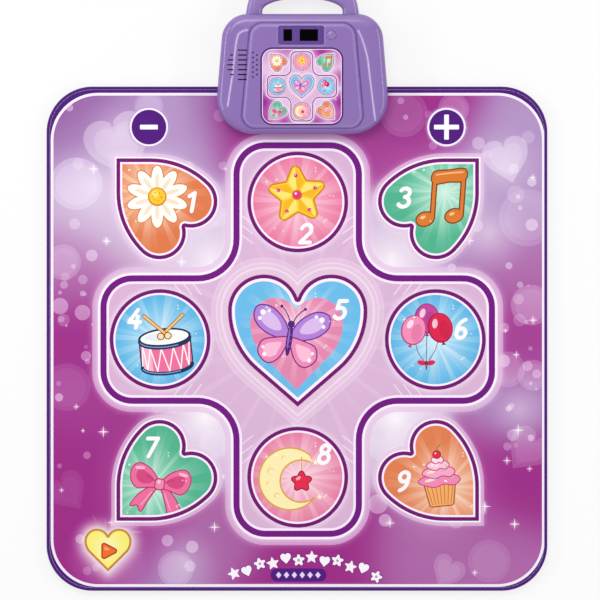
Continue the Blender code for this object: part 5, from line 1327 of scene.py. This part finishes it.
def makeTopShell():
    # outside and pocket are painted shade, on the inner faces and in the recesses
    s, outside, pocket = shell, shellShades["outside"], shellShades["pocket"]
    windows, vents = windowOutlines(), grilleOutlines()
    opening = circle(*button["middle"], button["radius"] + button["gap"], 40)
    labelHole, bezelHole, ledge = labelOutline(0.3), bezelOutline(0.3), labelOutline(-s["labelLedge"])
    # unseen lines that give the mesh its points along the round, the panel's step and the ridges
    lines = [boxOutline(-inset) for inset in (6.4, 7.8, 9.4, 11.2, 12.8, 14.0)]
    lines += [panelOutline(grow) for grow in (3.2, 2.6, 2.1, 1.6, 1.1, 0.5, -0.1, -0.7, -1.4, -2.2, -3, -3.8)]
    lines += [stroke(blobPath(path), wide) for path in ridgePaths for wide in (0.8, 1.8, 2.9, 4.2)]
    guides = []
    for line in lines:
        paint(guides, line, "808080", 0)
    arc = np.radians(np.linspace(0, s["turns"], 8))
    side = [(0.0, s["low"]), (0.0, s["shoulder"])]
    side += [(-s["round"] * (1 - math.cos(a)), s["shoulder"] + s["round"] * math.sin(a)) for a in arc[1:-1]]
    last = -s["round"] * (1 - math.cos(arc[-1]))
    face = printedMap(boxOutline(last), (labelHole, bezelHole, opening, *vents), guides, cell=3.6)
    # the inner wall goes on up to the ceiling where the panel lifts it
    w, small = s["wall"], s["round"] - s["wall"]
    inner = [(-w - small * (1 - math.cos(a)), s["shoulder"] + small * math.sin(a))
             for a in np.radians((60, 45, 30, 15))]
    inner = [(-w - small, s["shoulder"] + small), *inner, (-w, s["shoulder"]), (-w, s["low"]), (0, s["low"])]
    parts = [{**atHeight(face, shellHeight), "inks": shellPaintedLight}, skin(boxOutline, side, shellPaintedLight),
             skin(boxOutline, [side[-1], (last, shellHeight)], shellPaintedLight), skin(boxOutline, inner, outside),
             skin(boxOutline, [(inner[0][0], shellUnder), inner[0]], outside),
             flatFace(boxOutline(inner[0][0]), shellUnder, (ledge, *windows, opening, *vents), outside,
                      True, 9)]
    # the walls of the button's opening and of the slots in painted shade
    parts += [upright(loop, shellUnder, shellHeight, shellShades["vent"]) for loop in (opening, *vents)]
    # the label's and the bezel's recesses, walls and floors in painted shade
    for hole, floor, through in ((labelHole, s["labelFloor"], [ledge]),
                                 (bezelHole, s["bezelFloor"], windows)):
        parts += [upright(hole, floor, shellHeight, pocket), flatFace(hole, floor, through, pocket)]
        parts += [upright(loop, shellUnder, floor, pocket) for loop in through]
    # screw bosses that hang from the ceiling, each with a hole from below
    hole, boss = tray["screwHole"], tray["boss"]
    for places, floor in ((tray["clampScrews"], tray["frontFloor"]), (tray["caseScrews"], tray["rearFloor"])):
        for x, y in places:
            low, end = floor + 0.3, floor + tray["bossDepth"]
            sunk = shellUnder(*np.array([[x], [y]]))[0] + 0.6
            profile = [(0, end), (hole, end), (hole, low), (boss, low), (boss, sunk), (0, sunk)]
            parts.append(spun(profile, x, y, 20, outside))
    build("topShell", parts, "tonedPurple", ("top_shell",), sharp=38)


handle = {"front": 96.6, "rear": 86.0, "frontY": 539.2, "rearY": 600.0, "radii": (0.5, 0.5, 46.0, 46.0),
          "gripHalf": 67.2, "gripY": 552.0, "gripRise": 21.0, "middleZ": 24.0, "half": 9.0, "round": 12.5}


def handleOutline(grow=0.0):
    # an arch on two legs; their ends stay where they are, inside the wall, as the rest is grown or shrunk
    h, x = handle, shell["middleX"]
    outer = tapered(h, 0, 20)[42:]
    grip = bend(x, h["gripY"], h["gripHalf"], h["gripRise"], 180, 0, 60)
    rise = np.linspace(0.3, 1, 6)[:, None]
    leftFoot, rightFoot = (np.array([x + side * h["gripHalf"], h["frontY"]]) for side in (-1, 1))
    left = leftFoot + (grip[0] - leftFoot) * rise[:-1]
    right = rightFoot + (grip[-1] - rightFoot) * rise[-2::-1]
    leftSole = [(x - h["front"], h["frontY"]), leftFoot]
    rightSole = [rightFoot, (x + h["front"], h["frontY"])]
    plain = anticlockwise(np.concatenate([outer, leftSole, left, grip, right, rightSole]))
    loop = swelled(plain, grow)
    return np.stack([loop[:, 0], np.where(plain[:, 1] < h["gripY"] - 6, plain[:, 1], loop[:, 1])], 1)


def makeHandle():
    # a flattened round section whose side is a quarter oval, above and below
    h = handle
    a = np.radians(np.linspace(-90, 90, 19))
    section = [(-h["round"] * (1 - math.cos(t)), h["middleZ"] + h["half"] * math.sin(t)) for t in a]
    edge = handleOutline(-h["round"])
    parts = [skin(handleOutline, section), flatFace(edge, h["middleZ"] + h["half"]),
             flatFace(edge, h["middleZ"] - h["half"], down=True)]
    build("carryHandle", parts, "glossPurple", ("carry_handle",), sharp=50)


def makeDisplay():
    low, top, ease = bezel["low"], bezel["top"], bezel["ease"]
    windows = windowOutlines(0)
    side = [(0, low), (0, top - ease), (-0.13, top - 0.13), (-ease, top)]
    parts = [flatFace(bezelOutline(-ease), top, windows), skin(bezelOutline, side),
             flatFace(bezelOutline(), low, windows, down=True)]
    parts += [upright(loop, low, top) for loop in windows]
    build("displayBezel", parts, "deepPurple", ("display_bezel",))


def makeButton():
    b, low = button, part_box("mode_button")[0][2] / mm
    a = np.radians(np.linspace(0, 90, 9))
    dome = [(b["radius"] * math.cos(t), b["rim"] + (b["top"] - b["rim"]) * math.sin(t)) for t in a]
    parts = [spun([(0, low), (b["radius"], low)] + dome, *b["middle"])]
    build("modeButton", parts, "glossPurple", ("mode_button",), "mode_button")


labelGround = {
    # x, y, reach, cover, ink
    "washes": ((-50, 482, 24, 0.8, "c795cc"), (60, 480, 26, 0.6, "bb5aa5"), (40, 486, 20, 1.0, "a3188a"),
               (-58, 398, 24, 1.0, "8f1283"), (72, 398, 22, 1.0, "97148a"), (-58, 370, 24, 0.9, "97148a"),
               (72, 370, 24, 0.9, "a52c93"), (73, 440, 18, 0.8, "a8328f"), (-20, 488, 22, 0.7, "b04aa0"),
               (-22, 366, 20, 0.9, "a63a98"), (32, 366, 20, 0.9, "a63a98"), (-58, 430, 18, 0.6, "c070bc")),
    "seed": 5, "specks": 40,
}


def labelPrint():
    # the mat's own print again at less than a fifth, inside a dark edge and a white line
    layers = []
    paint(layers, labelOutline(-2.6), "fbeffc")
    field = paint(layers, labelOutline(-3.6), "e3bfe2")
    for x, y, reach, cover, colour in labelGround["washes"]:
        paint(layers, circle(x, y, reach, 36), colour, fade(x, y, reach, cover, 0.8), field)
    draw = np.random.default_rng(labelGround["seed"])
    for _ in range(labelGround["specks"]):
        x, y = draw.uniform(-60, 74), draw.uniform(362, 488)
        paint(layers, circle(x, y, draw.uniform(0.4, 2.2), 12), "fff6ff", draw.uniform(0.3, 0.8), field)
    small = []
    crossPrint(small)
    for name in cornerPads:
        outline = pads[name][0]
        paint(small, outline(20), "fff5ff", halo(outline(3), 17, 0.9))
    for name in padLooks:
        small += repeated(padPrint(name, False), 1, 0, 0, None, len(small))
    return layers + repeated(small, label["size"], *label["middle"], field, len(layers))


def makeLabel():
    low, top, ease, edgeInk = label["low"], label["top"], 0.2, "4d1d6f"
    parts = [atHeight(printedMap(labelOutline(-ease), (), labelPrint(), edgeInk, 1.3), top),
             skin(labelOutline, [(0, low), (0, top - ease), (-ease, top)], edgeInk),
             flatFace(labelOutline(), low, (), "f4eef4", True)]
    build("lightLabel", parts, "printedLabel", ("light_label",))


# The base shell: deep behind the mat, shallow where it lies on it
tray = {"low": 3.0, "top": 23.85, "round": 3.0, "stepY": 426.5, "frontLow": 11.9, "frontFloor": 14.3,
        "rearFloor": 5.4, "wall": 2.4, "bay": (8.0, 480.0), "bayBlock": (84.4, 53.6), "bayTop": 22.4,
        "cells": (58.4, 45.6), "cellsTop": 20.4, "recess": (79.2, 47.4), "recessTop": 5.3, "doorScrewX": 34.2,
        "doorScrewEnd": 16.0, "screwHole": 1.9, "headPocket": (3.4, 4.6),
        "clampScrews": ((-92.0, 389.4), (108.0, 389.4)), "caseScrews": ((-100.0, 517.0), (116.0, 517.0)),
        "ribbon": ((8.0, 404.4), (25.2, 1.7)), "switchSlot": (3.0, 11.2, 13.0, 15.8), "panelHalf": 60,
        "post": 3.5, "peg": 1.1, "postInset": 5.0, "boss": 4.2, "bossDepth": 11.0}


def splitOutline(grow, level, part):
    # the box's outline with a point where it crosses a level in y: all of it, its front or its rear
    plain, loop = boxOutline(), boxOutline(grow)
    ahead = np.roll(plain, -1, 0)
    rise = ahead[:, 1] - plain[:, 1]
    share = np.where(rise == 0, -1, (level - plain[:, 1]) / np.where(rise == 0, 1, rise))
    passed = (share > 0) & (share < 1)
    between = loop + (np.roll(loop, -1, 0) - loop) * share[:, None]
    between[:, 1] = level
    sides = {"all": (passed | True, loop), "front": (plain[:, 1] < level, np.minimum(loop, [1e9, level])),
             "rear": (plain[:, 1] > level, np.maximum(loop, [-1e9, level]))}
    held, loop = sides[part]
    return np.stack([loop, between], 1).reshape(-1, 2)[np.stack([held, passed], 1).ravel()]


def block(middle, size, grow=0.0):
    return boxAt(*middle, size[0] / 2, size[1] / 2, 0.01, grow, 1)


def stood(part):
    # a flat part turned up on its edge: its y becomes height and its height becomes -y
    x, y, z = part["points"].T
    return {**part, "points": np.stack([x, -z, y], 1)}


def opened(wall, y, half):
    # leave out the wall's faces in the middle of the rear side, above the bottom round and below the rim
    middles = wall["points"][wall["faces"]].mean(1)
    gone = np.abs(middles[:, 0] - shell["middleX"]) < half
    gone &= (middles[:, 1] > y - 0.01) & (middles[:, 2] > 6)
    gone &= middles[:, 2] < tray["top"] - 0.01
    return {**wall, "faces": wall["faces"][~gone]}


def rearPanel(loop, y, levels):
    # the outline of the part left out: its corners are the wall's own points
    near = np.abs(loop[:, 0] - shell["middleX"]) < tray["panelHalf"]
    x = np.sort(loop[(np.abs(loop[:, 1] - y) < 0.01) & near, 0])
    low, *between, high = levels
    right, left = [(x[-1], z) for z in between], [(x[0], z) for z in between[::-1]]
    return np.array([(v, low) for v in x] + right + [(v, high) for v in x[::-1]] + left)


def rearWalls(y, walls, loop, levels):
    # the walls with their rear middle left out, and the outline of what takes its place
    plain = rearPanel(loop, y, levels)
    half = np.abs(plain[:, 0] - shell["middleX"]).max()
    return [opened(part, y, half) for part in walls], plain


def makeBaseShell():
    # outside is painted shade over the whole base shell, and dark is deeper painted shade on its inner faces
    b, outside, dark = tray, shellShades["outside"], shellShades["inside"]
    w, step, inStep = -b["wall"], b["stepY"], b["stepY"] + b["wall"]
    low, top = b["low"], b["top"]
    frontLow, frontFloor, rearFloor = b["frontLow"], b["frontFloor"], b["rearFloor"]

    def outer(part):
        return lambda grow: splitOutline(grow, step, part)

    def inner(part):
        return lambda grow: splitOutline(grow, inStep, part)

    turn = np.radians(np.linspace(90, 0, 7))
    tub = [(-b["round"] * (1 - math.cos(a)), low + b["round"] * (1 - math.sin(a))) for a in turn]
    outerWalls = [skin(outer("rear"), tub + [(0, frontLow)], outside),
                  skin(outer("all"), [(0, frontLow), (0, top)], outside)]
    innerWalls = [skin(inner("all"), [(0, top), (w, top), (w, frontFloor)], dark),
                  skin(inner("rear"), [(w, frontFloor), (w, rearFloor)], dark)]
    # the rear wall's middle, with the slot of the power switch
    rearY = shell["rearY"]
    slot = box(*b["switchSlot"], 0.4, 0, 3)
    parts, outerPanel = rearWalls(rearY, outerWalls, outer("all")(0), (low + b["round"], frontLow, top))
    innerParts, innerPanel = rearWalls(rearY + w, innerWalls, inner("all")(w), (rearFloor, frontFloor, top))
    parts += innerParts + [stood(flatFace(outerPanel, -rearY, (slot,), outside, True, 6)),
                           stood(flatFace(innerPanel, -rearY - w, (slot,), dark)),
                           stood(upright(slot, -rearY, -rearY - w, outside))]
    # floors, seen from below and from inside
    clampHoles, caseHoles = ([circle(*place, b["screwHole"], 20) for place in b[key]]
                             for key in ("clampScrews", "caseScrews"))
    headRadius, headTop = b["headPocket"]
    pockets = [circle(*place, headRadius, 24) for place in b["caseScrews"]]
    ribbon = block(*b["ribbon"])
    recess, cells, bay = (block(b["bay"], b[key]) for key in ("recess", "cells", "bayBlock"))
    x, y = b["bay"]
    doorHoles = [circle(x + side * b["doorScrewX"], y, b["screwHole"], 20) for side in (-1, 1)]
    through = (*clampHoles, ribbon)
    flats = ((outer("front")(0), through, frontLow, True, outside),
             (outer("rear")(-b["round"]), (recess, *pockets), low, True, outside),
             (recess, (cells, *doorHoles), b["recessTop"], True, outside),
             (cells, (), b["cellsTop"], True, dark),
             (inner("front")(w), through, frontFloor, False, dark),
             (inner("rear")(w), (bay, *caseHoles), rearFloor, False, dark),
             (bay, (), b["bayTop"], False, dark))
    for edge, holes, level, down, colour in flats:
        parts.append(flatFace(edge, level, holes, colour, down, 12))
    walls = ((through, frontLow, frontFloor), (pockets, low, headTop), (caseHoles, headTop, rearFloor),
             (doorHoles, b["recessTop"], b["doorScrewEnd"]), ([recess], low, b["recessTop"]),
             ([cells], b["recessTop"], b["cellsTop"]))
    for loops, start, end in walls:
        parts += [upright(loop, start, end, dark) for loop in loops]
    parts += [flatFace(pocket, headTop, (hole,), dark, True) for pocket, hole in zip(pockets, caseHoles)]
    parts += [flatFace(hole, b["doorScrewEnd"], (), dark, True) for hole in doorHoles]
    parts.append(skin(lambda grow: block(b["bay"], b["bayBlock"], grow),
                      [(0, rearFloor), (0, b["bayTop"])], dark))
    # posts under the two boards, with the pegs that hold them
    post, peg, inset = b["post"], b["peg"], b["postInset"]
    for node in ("panel_board", "main_board"):
        (x0, y0, under), (x1, y1, over) = np.array(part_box(node)) / mm
        for x, y in itertools.product((x0 + inset, x1 - inset), (y0 + inset, y1 - inset)):
            foot, seat, end = (rearFloor if y > step else frontFloor) - 0.6, under - 0.3, over + 1
            profile = [(0, foot), (post, foot), (post, seat), (peg, seat), (peg, end), (0, end)]
            parts.append(spun(profile, x, y, 16, dark))
    build("baseShell", parts, "tonedPurple", ("base_shell",), sharp=34)


# Small pieces under the box
door = {"size": (78.4, 46.6), "top": 5.0, "ease": 0.5, "grips": 7, "gripPitch": 3.4, "gripSize": (24.0, 1.5),
        "gripProud": 0.5}
plate = {"top": 2.0, "ease": 0.4, "radius": 4.5, "headRoom": 1.6, "deep": 54,
         "dishes": ((-52, 62, 34), (8, 48, 34), (68, 62, 34)), "dishDeep": 0.6}
screw = {"head": 3.0, "headHigh": 1.0, "shank": 1.5, "thread": 0.7, "threadDeep": 0.28, "arm": 1.7,
         "armHalf": 0.42, "recess": 0.7}


def plateBelow(edge, ease, low, high, pockets, places, dishes=(), dishDeep=0.0):
    # a plate seen from below: eased lower edge, screw holes in round pockets, and shallow dishes
    loops = [circle(x, y, screw["head"] + 0.4, 24) for x, y in places]
    holes = [circle(x, y, tray["screwHole"], 20) for x, y in places]
    side = [(-ease, low), (-0.3 * ease, low + 0.3 * ease), (0, low + ease), (0, high)]
    parts = [skin(edge, side), flatFace(edge(-ease), low, (*loops, *dishes), down=True),
             flatFace(edge(0), high, holes)]
    for loop, hole in zip(loops, holes):
        parts += [upright(loop, low, pockets), upright(hole, pockets, high),
                  flatFace(loop, pockets, (hole,), down=True)]
    for loop in dishes:
        parts += [upright(loop, low, low + dishDeep), flatFace(loop, low + dishDeep, down=True)]
    return parts


def makeDoor():
    d, (x, y) = door, tray["bay"]
    places = [(x + side * tray["doorScrewX"], y) for side in (-1, 1)]
    parts = plateBelow(lambda grow: block((x, y), d["size"], grow), d["ease"], tray["low"], d["top"],
                       tray["headPocket"][1], places)
    low = tray["low"] - d["gripProud"]
    wide, high = (size / 2 for size in d["gripSize"])
    for index in range(d["grips"]):
        middle = y + (index - (d["grips"] - 1) / 2) * d["gripPitch"]

        def bar(grow):
            return boxAt(x, middle, wide, high, 0.7, grow, 5)

        parts += [skin(bar, [(-0.4, low), (-0.1, low + 0.15), (0, low + 0.9)]), flatFace(bar(0), low + 0.9),
                  flatFace(bar(-0.4), low, down=True)]
    build("batteryDoor", parts, "glossPurple", ("battery_door",), "battery_door")


def makeClampPlate():
    p = plate
    (x0, y0, _), (x1, y1, _) = np.array(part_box("clamp_plate")) / mm
    dishes = [box(x - wide / 2, y0 + (p["deep"] - deep) / 2, x + wide / 2,
                  y0 + (p["deep"] + deep) / 2, 5, 0, 5) for x, wide, deep in p["dishes"]]
    parts = plateBelow(lambda grow: box(x0, y0, x1, y1, p["radius"], grow, 6), p["ease"], 0.0, p["top"],
                       p["headRoom"], tray["clampScrews"], dishes, p["dishDeep"])
    build("clampPlate", parts, "blackPlastic", ("clamp_plate",))


def makeScrews():
    # a pan head with a cross recess below, and above it a shank whose radius rises and falls along it
    s, reach, half = screw, screw["arm"], screw["armHalf"]
    # one arm's corners, and the same three times more, each a quarter further round
    corners, arm = [], [(half, half), (half, reach), (-half, reach)]
    for _ in range(4):
        corners += arm
        arm = [(-b, a) for a, b in arm]
    for node in (f"{place}_screw_{number}" for place in ("door", "clamp", "case") for number in (1, 2)):
        low, high = np.array(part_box(node)) / mm
        x, y = (low[:2] + high[:2]) / 2
        z, end = low[2], high[2]
        cross = anticlockwise([(x + a, y + b) for a, b in corners])
        neck = z + s["headHigh"]
        levels = np.arange(neck + 0.4, end - 1.2, s["thread"] / 2)
        shank = [(s["shank"] - s["threadDeep"] * (index % 2), level) for index, level in enumerate(levels)]
        profile = [(s["head"] - 0.5, z), (s["head"] - 0.15, z + 0.12), (s["head"], z + 0.42),
                   (s["head"], neck), (s["shank"], neck)] + shank + [(0.3, end), (0, end)]
        parts = [spun(profile, x, y, 20), upright(cross, z, z + s["recess"]),
                 flatFace(cross, z + s["recess"], down=True),
                 flatFace(circle(x, y, s["head"] - 0.5, 20), z, (cross,), down=True)]
        body = "battery_door" if node.startswith("door") else "mat_and_box"
        build(node.split("_")[0] + "Screw" + node[-1], parts, "platedSteel", (node,), body, 40)


knob = {"inset": 0.3, "shoulder": 0.5, "ridges": 3, "ridgeHigh": 0.32, "points": 25}


def makeKnob():
    # a small block with upright ridges across its outer face
    low, high = np.array(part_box("power_knob")) / mm
    x = np.linspace(high[0] - knob["inset"], low[0] + knob["inset"], knob["points"])
    wave = np.abs(np.sin(np.linspace(0, knob["ridges"] * np.pi, knob["points"])))
    teeth = np.stack([x, high[1] - knob["ridgeHigh"] * (1 - wave)], 1)
    shoulder = high[1] - knob["shoulder"]
    edge = anticlockwise(np.concatenate([[(low[0], low[1]), (high[0], low[1]), (high[0], shoulder)], teeth,
                                         [(low[0], shoulder)]]))
    parts = [skin(lambda grow: edge, [(0, low[2]), (0, high[2])]), flatFace(edge, high[2]),
             flatFace(edge, low[2], down=True)]
    build("powerKnob", parts, "blackPlastic", ("power_knob",), "power_knob", 50)
    print("control box done")


for make in (makeLayers, makeSprings, makeMat, makePads, makeBinding, makeTopShell, makeHandle, makeDisplay,
             makeButton, makeLabel, makeBaseShell, makeDoor, makeClampPlate, makeScrews, makeKnob):
    make()


def finishSolids():
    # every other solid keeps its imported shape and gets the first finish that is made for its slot
    for solid in nodes.values():
        for place in solid.material_slots:
            slot = place.material.name if place.material else ""
            found = next((name for name, look in finishes.items() if look["slot"] in slot), None)
            if found:
                place.material = made[found]
    print("solids finished:", len(nodes))


finishSolids()


# The room: a pale floor that shows white to the camera, a soft sky and four soft lights
room = {"floorHalf": 40.0, "floorDrop": 0.0003, "floorShade": 0.90, "floorWhite": 0.76, "skyShade": 0.51}
view = {"lens": 1500.0, "sensor": 36.0, "clip": 200.0, "x": 0.00386, "y": 0.0665, "low": 0.012,
        "perLens": 0.028}
lights = {
    # place, what it faces, width, height, watts
    "keyLight": ((-0.6, 1.7, 2.8), (0, 0.2, 0), 1.4, 1.4, 25.0),
    "fillLight": ((1.2, -2.2, 2.2), (0, 0, 0), 1.8, 1.8, 10.0),
    "leftStrip": ((-2.0, 0.7, 1.1), (0, 0.45, 0), 2.2, 0.3, 20.0),
    "rightStrip": ((2.0, 0.5, 1.2), (0, 0.45, 0), 2.2, 0.3, 16.0),
}


def whitened(tree, plain, white, share, end):
    # camera, glossy and transmission rays see this share of the white shader; all others see the plain one
    path = added(tree, "ShaderNodeLightPath")
    seen = path.outputs["Is Camera Ray"]
    for ray in ("Is Glossy Ray", "Is Transmission Ray"):
        either = added(tree, "ShaderNodeMath", operation="MAXIMUM")
        tree.links.new(seen, either.inputs[0])
        tree.links.new(path.outputs[ray], either.inputs[1])
        seen = either.outputs[0]
    part = added(tree, "ShaderNodeMath", operation="MULTIPLY")
    part.inputs[1].default_value = share
    mix = added(tree, "ShaderNodeMixShader")
    for source, target in ((seen, part.inputs[0]), (part.outputs[0], mix.inputs["Fac"]),
                           (plain.outputs[0], mix.inputs[1]), (white.outputs[0], mix.inputs[2]),
                           (mix.outputs[0], tree.nodes[end].inputs["Surface"])):
        tree.links.new(source, target)


def makeFloor():
    half, low = room["floorHalf"], -room["floorDrop"]
    corners = [(-half, -half, low), (half, -half, low), (half, half, low), (-half, half, low)]
    mesh = bpy.data.meshes.new("floor")
    mesh.from_pydata(corners, [], [(0, 1, 2, 3)])
    floor = newObject("floor", mesh)
    paper = bpy.data.materials.new("paper")
    paper.use_nodes = True
    tree = paper.node_tree
    shader = tree.nodes["Principled BSDF"]
    shader.inputs["Base Color"].default_value = (room["floorShade"],) * 3 + (1,)
    shader.inputs["Roughness"].default_value = 0.9
    whitened(tree, shader, added(tree, "ShaderNodeEmission"), room["floorWhite"], "Material Output")
    mesh.materials.append(paper)


def makeSky():
    world = bpy.data.worlds.new("sky")
    world.use_nodes = True
    tree = world.node_tree
    sky = tree.nodes["Background"]
    sky.inputs["Color"].default_value = (1, 1, 1, 1)
    sky.inputs["Strength"].default_value = room["skyShade"]
    whitened(tree, sky, added(tree, "ShaderNodeBackground", Strength=1.0), 1.0, "World Output")
    bpy.context.scene.world = world


def makeLights():
    for name, (place, facing, wide, high, power) in lights.items():
        light = bpy.data.lights.new(name, "AREA")
        light.shape = "RECTANGLE"
        light.size = wide
        light.size_y = high
        light.energy = power
        lamp = newObject(name, light)
        lamp.location = place
        away = mathutils.Vector(place) - mathutils.Vector(facing)
        lamp.rotation_euler = away.to_track_quat("Z", "Y").to_euler()
        lamp.visible_camera = False


def makeCamera():
    # straight above the middle of the photograph, far off behind a long lens
    camera = bpy.data.cameras.new("camera")
    camera.lens = view["lens"]
    camera.sensor_width = view["sensor"]
    camera.clip_end = view["clip"]
    held = newObject("camera", camera)
    held.location = (view["x"], view["y"], view["low"] + view["perLens"] * view["lens"])
    bpy.context.scene.camera = held
    bpy.context.scene.view_settings.view_transform = "Standard"


makeFloor()
makeSky()
makeLights()
makeCamera()
print("room and camera done")
